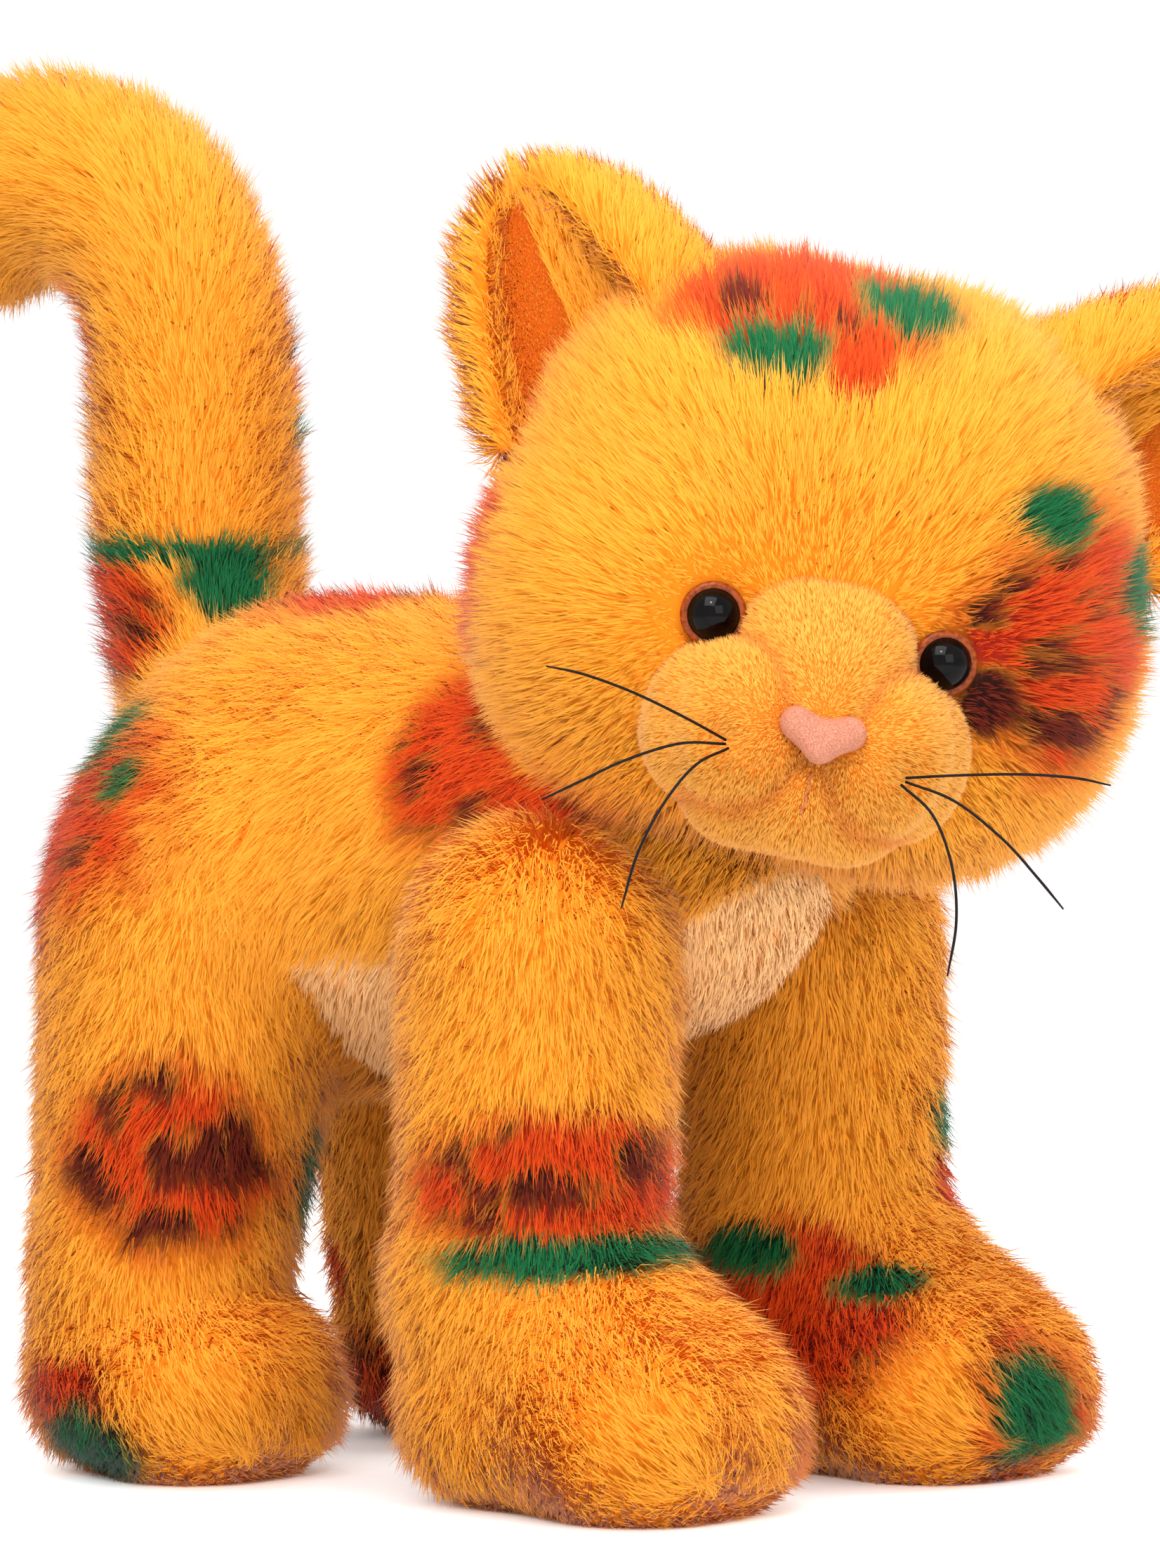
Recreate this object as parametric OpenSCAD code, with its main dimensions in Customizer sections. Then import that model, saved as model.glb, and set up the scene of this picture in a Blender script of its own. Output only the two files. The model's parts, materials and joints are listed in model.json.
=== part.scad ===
// Standing plush cat with a turned head, an upright curling tail and four stuffed legs.
// It faces -Y, stands on z = 0 and is symmetric about x = 0 but for the turned head and the tail's curl.
// Every furry panel is a fabric skin around its own stuffing, and the pile is not modelled here.

/* [Fabric] */
// Thickness of the pile fabric's backing
cloth = 2.0; // [1.5:0.1:2.5]
// Thickness of the short plush on the muzzle, ears and soles
short_cloth = 1.6; // [1.2:0.1:2.0]
// Gap between a skin and the stuffing inside it
stuffing_gap = 0.1; // [0.05:0.05:0.3]

/* [Torso] */
// Radius of the chest
chest_r = 58; // [54:1:60]
// Radius of the rump
rump_r = 66; // [62:1:68]
// Half width of the pale belly panel
belly_half_w = 34; // [28:1:36]

/* [Legs] */
// Distance of each front leg from the middle
front_leg_x = 64; // [62:1:66]
// Radius of a front leg
front_leg_r = 33; // [31:1:34]
// Distance of each hind paw from the middle
hind_paw_x = 68; // [64:1:72]
// Radius of a paw's heel
heel_r = 34; // [32:1:36]
// How far a front leg swings each way from rest, in degrees
leg_swing = 15; // [5:1:16]

/* [Head] */
// Angle that the head is turned to the cat's right
head_turn = 45; // [35:1:50]
// Angle that the head is rolled towards the cat's left
head_roll = 12; // [6:1:14]
// Angle that the face is tipped down
head_tip = 2.5; // [0:0.5:4]
// Radius of the cheeks
cheek_r = 58; // [55:1:59]
// How far the neck turns each way from rest, in degrees
neck_turn = 15; // [5:1:15]
// How far the neck nods each way from rest, in degrees
neck_nod = 8; // [4:1:8]
// Diameter of an eye
eye_d = 14.6; // [12:0.2:16]
// Diameter of an eye's shank
shank_d = 5; // [4:0.5:5]
// Diameter of a whisker
whisker_d = 0.8; // [0.6:0.1:1]

/* [Ears] */
// Height of an ear above its root
ear_h = 44; // [40:1:50]
// Distance between the two side rims of an ear
ear_w = 58; // [50:1:60]
// How far an ear folds each way from rest, in degrees
ear_fold = 12; // [4:1:12]

/* [Tail] */
// Radius of the tail
tail_r = 25; // [23:1:26]
// How far the tail sways each way from rest, in degrees
tail_sway = 20; // [5:1:20]

/* [Hidden] */

LEFT = 1;
RIGHT = -1;
facets = 16;
far = 1200;
// Wide enough for the flat facets of a neighbour as well as for its travel
clearance = 1.6;
GOLD = "goldenrod";
LINING = "darkorange";
CREAM = "navajowhite";
STUFFING = "whitesmoke";

// Moves the whole cat so that the origin is at the middle of its base.
origin_shift = [15.6, 8.8, 0];

// Balls are [x, y, z, radius], and the hull of a few of them is a stuffed form.
torso_balls = [[0, -50, 185, chest_r], [0, 25, 179, 64], [0, 64, 177, rump_r]];
shoulder = [front_leg_x - 3, -66, 154];
wrist = [front_leg_x, -66, 62];
front_leg_balls = [[each shoulder, front_leg_r + 1], [each wrist, front_leg_r]];
front_paw_balls = [
    [front_leg_x, -66, 52, front_leg_r], [front_leg_x, -68, 30, heel_r - 2],
    [front_leg_x - 7, -112, 24, 28], [front_leg_x + 13, -113, 24, 28]
];
thigh_balls = [[52, 70, 156, 44], [hind_paw_x - 2, 80, 60, 33]];
hind_paw_balls = [
    [hind_paw_x - 2, 80, 52, 33], [hind_paw_x, 80, 30, heel_r],
    [hind_paw_x - 7, 50, 24, 28], [hind_paw_x + 9, 50, 24, 28]
];

head_centre = [-1, -115, 258.5];
cheek = [28, -8, -14];
head_balls = [
    [-cheek[0], cheek[1], cheek[2], cheek_r], [cheek[0], cheek[1], cheek[2], cheek_r],
    [-20, -4, 18, 60], [20, -4, 18, 60], [0, 18, 4, 60]
];
pad = [20, -70, -40];
pad_r = 26;
muzzle_balls = [[-pad[0], pad[1], pad[2], pad_r], [each pad, pad_r], [0, -68, -20, 24], [0, -62, -52, 24]];
bridge_z = -30;
chin_z = -58;
gusset_half_w = 20;
gusset_low_z = -30;
neck_pivot = [0, -68, 206];
neck_ball_r = 20;

eye_out = 4.4;
eye_up = -0.5;
eye_sink = 1.6;
washer_d = 18;
washer_t = 1.4;
washer_depth = cloth + 4;
shank_length = 15;
shank_hole_length = 24;

ear_root = [66, 4, 40];
ear_lean = 42;
ear_balls = [[-ear_w / 2, 0, 0, 8], [ear_w / 2, 0, 0, 8], [-ear_w / 2 + 9, 0, ear_h * 0.65, 8],
             [ear_w / 2 - 9, 0, ear_h * 0.65, 8], [0, 0, ear_h, 10]];

tail_root = [0, 92, 201];
tail_line = [
    tail_root, [0, 106, 228], [0, 113, 258], [0, 115, 296], [0, 119, 332],
    [0, 131, 360], [-3, 150, 375], [-6, 172, 378], [-10, 193, 369]
];

// Whiskers run from one point on each pad, given here for the left side in the head's own frame.
whisker_upper = [[25, -91, -46], [38, -98, -42], [54, -103, -38], [68, -104, -36], [78, -103, -36]];
whisker_middle = [[25, -92, -47], [38, -100, -49], [52, -106, -56], [63, -108, -64], [72, -107, -71]];
whisker_lower = [[24, -92, -48], [33, -101, -54], [40, -107, -66], [44, -109, -80], [45, -108, -95]];
stitch_d = 1.4;

// Forms and placement
function grown(balls, by) = [for (b = balls) [b[0], b[1], b[2], b[3] + by]];
function unit(v) = v / norm(v);
function mirrored(points) = [for (p = points) [-p[0], p[1], p[2]]];
function direction(p, i) = unit(p[min(i + 1, len(p) - 1)] - p[max(i - 1, 0)]);

module form(balls, by = 0, side = 1) {
    hull() for (b = grown(balls, by)) translate([side * b[0], b[1], b[2]]) sphere(r = b[3], $fn = facets);
}

module half_space(axis, side, from = 0) {
    place = [for (k = [0:2]) k == axis ? from + side * far / 2 : 0];
    translate(place) cube(far, center = true);
}

module slab(axis, low, high) {
    size = [for (k = [0:2]) k == axis ? high - low : far];
    place = [for (k = [0:2]) k == axis ? (low + high) / 2 : 0];
    translate(place) cube(size, center = true);
}

module above(height) { half_space(2, 1, height); }

module turned_about(pivot, angles) { translate(pivot) rotate(angles) translate(-pivot) children(); }

// A tube swept along points, one ring each, with the given radii. reference is never along the tube.
module swept(points, radii, sides, reference) {
    last = len(points) - 1;
    rings = [for (i = [0:last])
        let (t = direction(points, i), u = unit(cross(reference, t)), v = cross(t, u))
        for (k = [0:sides - 1]) points[i] + radii[i] * (cos(360 * k / sides) * u + sin(360 * k / sides) * v)];
    walls = [for (i = [0:last - 1], k = [0:sides - 1])
        let (a = i * sides + k, b = i * sides + (k + 1) % sides)
        each [[a, a + sides, b], [b, a + sides, b + sides]]];
    caps = [[for (k = [0:sides - 1]) k], [for (k = [sides - 1:-1:0]) last * sides + k]];
    polyhedron(points = rings, faces = concat(walls, caps), convexity = 6);
}

// Head frame
module at_head() { translate(head_centre) rotate([head_tip, head_roll, -head_turn]) children(); }

module at_eye(side) {
    translate([side * cheek[0], cheek[1], cheek[2]]) rotate([90 - eye_up, 0, side * eye_out])
        translate([0, 0, cheek_r]) children();
}

module at_ear(side) { translate([side * ear_root[0], ear_root[1], ear_root[2]]) rotate([0, side * ear_lean, 0]) children(); }

// Room that a moving piece needs in its neighbour
module front_leg_room(side) {
    pivot = [side * shoulder[0], shoulder[1], shoulder[2]];
    hull() {
        translate(pivot) sphere(r = front_leg_r + 1 + clearance, $fn = facets);
        for (a = [-leg_swing, 0, leg_swing]) turned_about(pivot, [a, 0, 0])
            translate([side * wrist[0], wrist[1], wrist[2]]) sphere(r = front_leg_r + clearance, $fn = facets);
    }
}

module head_room() {
    hull() for (turn = [-neck_turn, 0, neck_turn], nod = [-neck_nod, 0, neck_nod])
        turned_about(neck_pivot, [0, 0, turn]) translate(neck_pivot) rotate([0, 0, -head_turn])
        rotate([nod, 0, 0]) rotate([0, 0, head_turn]) translate(-neck_pivot) at_head()
        for (b = grown(head_balls, clearance)) translate([b[0], b[1], b[2]]) sphere(r = b[3], $fn = facets);
}

module neck_hole() { translate(neck_pivot) sphere(r = neck_ball_r + clearance, $fn = facets); }

module tail_room() {
    hull() for (a = [-tail_sway, 0, tail_sway], k = [0:2]) turned_about(tail_root, [0, a, 0])
        translate(tail_line[k]) sphere(r = tail_r + 1.5 * clearance, $fn = facets);
}

module eye_room(side) { at_eye(side) cylinder(d = eye_d + 1, h = shank_length, $fn = 48); }

module ear_room(side) {
    hull() for (a = [-ear_fold, 0, ear_fold])
        at_ear(side) rotate([a, 0, 0]) rotate([0, -side * ear_lean, 0])
        translate([-side * ear_root[0], -ear_root[1], -ear_root[2]])
        for (b = grown(head_balls, clearance)) translate([b[0], b[1], b[2]]) sphere(r = b[3], $fn = facets);
}

// Torso with the hind legs, which are cut in one piece with it
module hind_leg_form(side, by) {
    form(thigh_balls, by, side);
    form(hind_paw_balls, by, side);
}

module belly_region() {
    outline = [[-130, 221], [-72, 221], [-60, 145], [24, 145], [24, 55], [-130, 55]];
    rotate([90, 0, 90]) linear_extrude(2 * belly_half_w, center = true) polygon(outline);
}

module torso_side(side) {
    intersection() {
        half_space(0, side);
        above(short_cloth);
        difference() {
            union() { form(torso_balls); hind_leg_form(side, 0); }
            form(torso_balls, -cloth);
            hind_leg_form(side, -cloth);
            belly_region();
            front_leg_room(side);
            head_room();
            tail_room();
            neck_hole();
        }
    }
}

module torso_side_left() { color(GOLD) torso_side(LEFT); }
module torso_side_right() { color(GOLD) torso_side(RIGHT); }

module belly_panel() {
    color(CREAM) intersection() {
        belly_region();
        difference() {
            form(torso_balls);
            form(torso_balls, -cloth);
            front_leg_room(LEFT);
            front_leg_room(RIGHT);
            head_room();
            neck_hole();
        }
    }
}

module torso_filling() {
    inset = -cloth - stuffing_gap;
    color(STUFFING) intersection() {
        above(short_cloth + stuffing_gap);
        difference() {
            union() { form(torso_balls, inset); hind_leg_form(LEFT, inset); hind_leg_form(RIGHT, inset); }
            for (side = [LEFT, RIGHT]) front_leg_room(side);
            head_room();
            tail_room();
            neck_hole();
        }
    }
}

module sole(balls, side) {
    color(LINING) intersection() {
        form(balls, 0, side);
        slab(2, 0, short_cloth);
    }
}

module hind_sole_left() { sole(hind_paw_balls, LEFT); }
module hind_sole_right() { sole(hind_paw_balls, RIGHT); }

module neck_filling() { color(STUFFING) translate(neck_pivot) sphere(r = neck_ball_r, $fn = 48); }

// Front legs
module front_leg_form(side, by) {
    form(front_leg_balls, by, side);
    form(front_paw_balls, by, side);
}

module front_leg_panel(side, part) {
    intersection() {
        half_space(0, side * part, side * front_leg_x);
        above(short_cloth);
        difference() {
            front_leg_form(side, 0);
            front_leg_form(side, -cloth);
        }
    }
}

module front_leg_filling(side) {
    color(STUFFING) intersection() {
        front_leg_form(side, -cloth - stuffing_gap);
        above(short_cloth + stuffing_gap);
    }
}

module front_leg_outer_left() { color(GOLD) front_leg_panel(LEFT, 1); }
module front_leg_inner_left() { color(CREAM) front_leg_panel(LEFT, -1); }
module front_sole_left() { sole(front_paw_balls, LEFT); }
module front_leg_filling_left() { front_leg_filling(LEFT); }
module front_leg_outer_right() { color(GOLD) front_leg_panel(RIGHT, 1); }
module front_leg_inner_right() { color(CREAM) front_leg_panel(RIGHT, -1); }
module front_sole_right() { sole(front_paw_balls, RIGHT); }
module front_leg_filling_right() { front_leg_filling(RIGHT); }

// Tail
module tail_form(by) {
    r = tail_r + by;
    first = direction(tail_line, 0);
    final = direction(tail_line, len(tail_line) - 1);
    rounding = [78, 52, 26];
    points = concat(
        [for (a = rounding) tail_line[0] - first * r * sin(a)], tail_line,
        [for (k = [2:-1:0]) tail_line[len(tail_line) - 1] + final * r * sin(rounding[k])]);
    radii = concat([for (a = rounding) r * cos(a)], [for (p = tail_line) r], [for (k = [2:-1:0]) r * cos(rounding[k])]);
    swept(points, radii, 20, [1, 0, 0]);
}

module tail_panel(side) {
    color(GOLD) intersection() {
        half_space(0, side);
        difference() { tail_form(0); tail_form(-cloth); }
    }
}

module tail_panel_left() { tail_panel(LEFT); }
module tail_panel_right() { tail_panel(RIGHT); }
module tail_filling() { color(STUFFING) tail_form(-cloth - stuffing_gap); }

// Head skin
module head_shell() {
    difference() {
        form(head_balls);
        form(head_balls, -cloth);
        form(muzzle_balls);
        for (side = [LEFT, RIGHT]) at_eye(side) cylinder(d = shank_d + 0.2, h = shank_hole_length, center = true, $fn = 32);
    }
}

module gusset_region() {
    intersection() { slab(0, -gusset_half_w, gusset_half_w); half_space(2, 1, gusset_low_z); }
}

module head_side(side) {
    color(GOLD) difference() {
        at_head() difference() {
            intersection() { half_space(0, side); head_shell(); }
            gusset_region();
        }
        neck_hole();
    }
}

module head_side_left() { head_side(LEFT); }
module head_side_right() { head_side(RIGHT); }

module head_gusset() {
    color(GOLD) difference() {
        at_head() intersection() { gusset_region(); head_shell(); }
        neck_hole();
    }
}

module head_filling() {
    color(STUFFING) difference() {
        at_head() difference() {
            union() {
                form(head_balls, -cloth - stuffing_gap);
                form(muzzle_balls, -short_cloth - stuffing_gap);
            }
            for (side = [LEFT, RIGHT]) {
                eye_room(side);
                at_eye(side) translate([0, 0, -shank_length - 1]) cylinder(d = shank_d + 1, h = 2 * shank_length, $fn = 32);
                at_eye(side) translate([0, 0, -washer_depth - washer_t - 1])
                    cylinder(d = washer_d + 1, h = washer_t + 2 * cloth + 2, $fn = 48);
            }
        }
        neck_hole();
    }
}

// Muzzle
module muzzle_shell() {
    difference() {
        form(muzzle_balls);
        form(muzzle_balls, -short_cloth);
        form(head_balls);
        for (side = [LEFT, RIGHT]) eye_room(side);
    }
}

module muzzle_cheek(side) {
    color(CREAM) at_head() intersection() {
        muzzle_shell();
        half_space(0, side);
        slab(2, chin_z, bridge_z);
    }
}

module muzzle_bridge() { color(CREAM) at_head() intersection() { muzzle_shell(); half_space(2, 1, bridge_z); } }
module muzzle_cheek_left() { muzzle_cheek(LEFT); }
module muzzle_cheek_right() { muzzle_cheek(RIGHT); }
module muzzle_chin() { color(CREAM) at_head() intersection() { muzzle_shell(); half_space(2, -1, chin_z); } }

module nose() {
    nose_balls = [[-8, -94.5, -38, 4], [8, -94.5, -38, 4], [0, -95, -45, 4.4]];
    color("rosybrown") at_head() difference() { form(nose_balls); form(muzzle_balls, 0.02); }
}

// A point on the front of the pads at height z
function lip(x, z) = [x, pad[1] - sqrt(pow(pad_r, 2) - pow(z - pad[2], 2)), z];

module mouth_stitching() {
    middle = [for (z = [-50:-3:-59]) lip(0, z)];
    smile = [for (k = [0:4]) lip(k * 4, -59 + 0.35 * k * k)];
    color("peru") at_head() {
        swept(middle, [for (p = middle) stitch_d / 2], 8, [1, 0, 0]);
        for (line = [smile, mirrored(smile)]) swept(line, [for (p = line) stitch_d / 2], 8, [0, 1, 0]);
    }
}

// Eyes: a dome with a shank through the skin, held by a washer inside
module eye(side) {
    color("black") at_head() at_eye(side) {
        intersection() {
            translate([0, 0, -eye_sink]) sphere(r = norm([eye_d / 2, eye_sink]), $fn = 64);
            translate([0, 0, eye_d / 2 + 0.05]) cube(eye_d, center = true);
        }
        translate([0, 0, -shank_length]) cylinder(d = shank_d, h = shank_length + 1, $fn = 32);
    }
}

module eye_washer(side) {
    color("white") at_head() at_eye(side) translate([0, 0, -washer_depth - washer_t]) difference() {
        cylinder(d = washer_d, h = washer_t, $fn = 48);
        translate([0, 0, -1]) cylinder(d = shank_d + 0.1, h = washer_t + 2, $fn = 32);
    }
}

module eye_left() { eye(LEFT); }
module eye_right() { eye(RIGHT); }
module eye_washer_left() { eye_washer(LEFT); }
module eye_washer_right() { eye_washer(RIGHT); }

// Whiskers
module whisker(line, side) {
    points = side == LEFT ? line : mirrored(line);
    color("black") at_head() swept(points, [for (p = points) whisker_d / 2], 8, [0, 1, 0]);
}

module whisker_upper_left() { whisker(whisker_upper, LEFT); }
module whisker_middle_left() { whisker(whisker_middle, LEFT); }
module whisker_lower_left() { whisker(whisker_lower, LEFT); }
module whisker_upper_right() { whisker(whisker_upper, RIGHT); }
module whisker_middle_right() { whisker(whisker_middle, RIGHT); }
module whisker_lower_right() { whisker(whisker_lower, RIGHT); }

// Ears: a furry cup that is open to the front, with a short plush lining in it
module ear_cup(by, forward) { translate([0, -forward, 0]) form(ear_balls, by); }

module ear_piece(side, colour) {
    color(colour) at_head() difference() {
        at_ear(side) children();
        ear_room(side);
    }
}

module ear_outer(side) { ear_piece(side, GOLD) difference() { ear_cup(0, 0); ear_cup(-3, 5); } }

module ear_lining(side) {
    ear_piece(side, LINING) intersection() {
        half_space(1, 1, -7.5);
        difference() { ear_cup(-3 - stuffing_gap, 5); ear_cup(-3 - short_cloth, 7); }
    }
}

module ear_outer_left() { ear_outer(LEFT); }
module ear_lining_left() { ear_lining(LEFT); }
module ear_outer_right() { ear_outer(RIGHT); }
module ear_lining_right() { ear_lining(RIGHT); }

translate(origin_shift) {
    torso_side_left();
    torso_side_right();
    belly_panel();
    torso_filling();
    hind_sole_left();
    hind_sole_right();
    neck_filling();
    front_leg_outer_left();
    front_leg_inner_left();
    front_sole_left();
    front_leg_filling_left();
    front_leg_outer_right();
    front_leg_inner_right();
    front_sole_right();
    front_leg_filling_right();
    tail_panel_left();
    tail_panel_right();
    tail_filling();
    head_side_left();
    head_side_right();
    head_gusset();
    head_filling();
    muzzle_bridge();
    muzzle_cheek_left();
    muzzle_cheek_right();
    muzzle_chin();
    nose();
    mouth_stitching();
    eye_left();
    eye_right();
    eye_washer_left();
    eye_washer_right();
    whisker_upper_left();
    whisker_middle_left();
    whisker_lower_left();
    whisker_upper_right();
    whisker_middle_right();
    whisker_lower_right();
    ear_outer_left();
    ear_lining_left();
    ear_outer_right();
    ear_lining_right();
}
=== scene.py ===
import json
import logging
import math
from dataclasses import dataclass, field
from enum import Enum
from typing import Callable, Optional, Sequence

import bpy
import numpy as np
from mathutils import Matrix, Vector


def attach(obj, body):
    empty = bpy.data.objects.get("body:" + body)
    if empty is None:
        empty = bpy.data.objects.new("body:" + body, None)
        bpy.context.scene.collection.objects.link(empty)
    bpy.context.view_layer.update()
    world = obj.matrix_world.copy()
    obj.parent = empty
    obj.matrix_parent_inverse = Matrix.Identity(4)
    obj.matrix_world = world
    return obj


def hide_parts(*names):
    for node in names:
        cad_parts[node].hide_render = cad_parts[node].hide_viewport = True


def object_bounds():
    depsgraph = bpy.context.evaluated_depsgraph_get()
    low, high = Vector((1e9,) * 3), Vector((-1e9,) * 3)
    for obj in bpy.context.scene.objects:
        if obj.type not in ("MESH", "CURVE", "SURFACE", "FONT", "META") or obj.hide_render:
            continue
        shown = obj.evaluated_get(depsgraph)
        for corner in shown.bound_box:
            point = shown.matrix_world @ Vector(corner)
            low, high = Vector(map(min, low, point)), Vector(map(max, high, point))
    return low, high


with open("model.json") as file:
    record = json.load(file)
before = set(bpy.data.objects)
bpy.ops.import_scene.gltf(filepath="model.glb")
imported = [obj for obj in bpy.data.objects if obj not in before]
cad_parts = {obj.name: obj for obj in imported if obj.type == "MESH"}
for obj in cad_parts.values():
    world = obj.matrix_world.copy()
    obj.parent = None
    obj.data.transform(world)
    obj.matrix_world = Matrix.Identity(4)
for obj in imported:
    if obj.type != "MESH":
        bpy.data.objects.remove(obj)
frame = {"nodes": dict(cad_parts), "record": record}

LOG = logging.getLogger("plush_cat")
CAD_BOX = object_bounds()
MM = 0.001
Array = np.ndarray
Point = tuple[float, float, float]
Ball = tuple[float, float, float, float]
Masks = Callable[[Array], Array]

# All sizes are in millimetres in the cat's own frame: it faces -Y and +X is its left.
# Pile grows from a skin. Skins, stuffing and pile are grids of rows and columns or sets of fine ribbons.


# ---------------------------------------------------------------- small sums


def unit(vectors: Array) -> Array:
    """Vectors divided by their own length, which is never below a millionth."""
    return vectors / np.maximum(np.linalg.norm(vectors, axis=-1, keepdims=True), 1e-6)


def ramp(values: Array, low: float, high: float) -> Array:
    """An S curve, 3t^2 - 2t^3, from 0 at low to 1 at high."""
    t = np.clip((values - low) / (high - low), 0.0, 1.0)
    return t * t * (3.0 - 2.0 * t)


def turned(axis: str, degrees: float) -> Array:
    """The 3 by 3 matrix that turns about the X, Y or Z axis by the angle."""
    return np.array(Matrix.Rotation(math.radians(degrees), 3, axis))


def tangent(vectors: Array, normals: Array) -> Array:
    """What is left of each vector when its part along the normal is taken off."""
    return vectors - normals * np.sum(vectors * normals, axis=-1, keepdims=True)


def hashed(cells: Array, seed: int) -> Array:
    """A fixed number from 0 to 1 for each whole-numbered cell.

    The three numbers of a cell are multiplied by large primes, mixed by exclusive or, and mixed again.

    Args:
        cells: whole numbers, three in the last axis.
        seed: changes the whole pattern.

    Returns:
        One number a cell.
    """
    n = cells.astype(np.int64)
    mixed = (n[..., 0] * 73856093) ^ (n[..., 1] * 19349663) ^ (n[..., 2] * 83492791) ^ (seed * 26544357)
    mixed &= 0x7FFFFFFF
    mixed = ((mixed ^ (mixed >> 13)) * 1274126177) & 0x7FFFFFFF
    mixed = ((mixed ^ (mixed >> 15)) * 668265263) & 0x7FFFFFFF
    return ((mixed ^ (mixed >> 14)) & 0xFFFFFF) / float(0xFFFFFF)


def noise(points: Array, size: float, seed: int) -> Array:
    """Smooth noise from -1 to 1.

    Each point's cell has a random number at its eight corners, and S curves blend them across the cell.

    Args:
        points: places in millimetres.
        size: width of a cell.
        seed: changes the whole pattern.

    Returns:
        One number a point.
    """
    scaled = points / size
    cell = np.floor(scaled)
    part = scaled - cell
    part = part * part * (3.0 - 2.0 * part)
    total = np.zeros(points.shape[:-1])
    for corner in np.ndindex(2, 2, 2):
        offset = np.array(corner)
        weight = np.prod(np.where(offset == 1, part, 1.0 - part), axis=-1)
        total += weight * hashed(cell + offset, seed)
    return 2.0 * total - 1.0


def noise3(points: Array, size: float, seed: int) -> Array:
    """Three independent noises a point, as a vector."""
    return np.stack([noise(points, size, seed + 31 * k) for k in range(3)], axis=-1)


def rough(points: Array, size: float, seed: int) -> Array:
    """Noise with two finer layers on it, at half and a quarter of the size and strength."""
    return sum(noise(points, size / 2**k, seed + k) / 2**k for k in range(3)) / 1.75


def smooth_line(points: Sequence[Point], count: int) -> Array:
    """Points evenly spread along a curve that passes through the given ones.

    Each span is a cubic whose slope at a point is half the step between the point's two neighbours.

    Args:
        points: places that the curve passes through.
        count: how many points come back.

    Returns:
        An array of count places.
    """
    p = np.array(points, float)
    ends = np.vstack([2 * p[0] - p[1], p, 2 * p[-1] - p[-2]])
    t = np.linspace(0, len(p) - 1 - 1e-9, 12 * len(p))
    i = t.astype(int)
    f = (t - i)[:, None]
    a, b, c, d = ends[i], ends[i + 1], ends[i + 2], ends[i + 3]
    curve = 0.5 * (2 * b + (c - a) * f + (2 * a - 5 * b + 4 * c - d) * f**2 + (3 * b - a - 3 * c + d) * f**3)
    along = np.concatenate([[0], np.cumsum(np.linalg.norm(np.diff(curve, axis=0), axis=1))])
    even = np.linspace(0, along[-1], count)
    return np.stack([np.interp(even, along, curve[:, k]) for k in range(3)], axis=-1)


# ---------------------------------------------------------------- placement


@dataclass(frozen=True)
class Placement:
    """A turned and moved frame, such as the head's or an ear's."""

    turn: Array
    origin: Array

    def out(self, points: Array) -> Array:
        """Points of this frame in the outer frame."""
        return points @ self.turn.T + self.origin

    def out_direction(self, vectors: Array) -> Array:
        """Directions of this frame in the outer frame."""
        return vectors @ self.turn.T

    def back(self, points: Array) -> Array:
        """Points of the outer frame in this one."""
        return (points - self.origin) @ self.turn

    def inside(self, inner: "Placement") -> "Placement":
        """The frame inner, which is given in this one, in the outer frame."""
        return Placement(self.turn @ inner.turn, self.out(inner.origin))


NECK_PIVOT = np.array([0.0, -68.0, 206.0])
JOINTS = {joint["name"]: joint for joint in frame["record"]["behaviour"]["joints"]}
PIVOT_IN_ROW = np.array(JOINTS["neck_turn"]["pos_m"], float)
CAT = Placement(np.eye(3), PIVOT_IN_ROW / MM - NECK_PIVOT)
HEAD_TURN, HEAD_ROLL, HEAD_TIP = -45, 12, 2.5
HEAD_CENTRE = np.array([-1.0, -115.0, 258.5])
HEAD_TURNED = turned("Z", HEAD_TURN) @ turned("Y", HEAD_ROLL) @ turned("X", HEAD_TIP)
HEAD = CAT.inside(Placement(HEAD_TURNED, HEAD_CENTRE))


class Side(Enum):
    """The cat's own left and right."""

    LEFT = 1
    RIGHT = -1

    @property
    def word(self) -> str:
        """The side's name in a piece's name."""
        return self.name.lower()


# ---------------------------------------------------------------- grids


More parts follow.
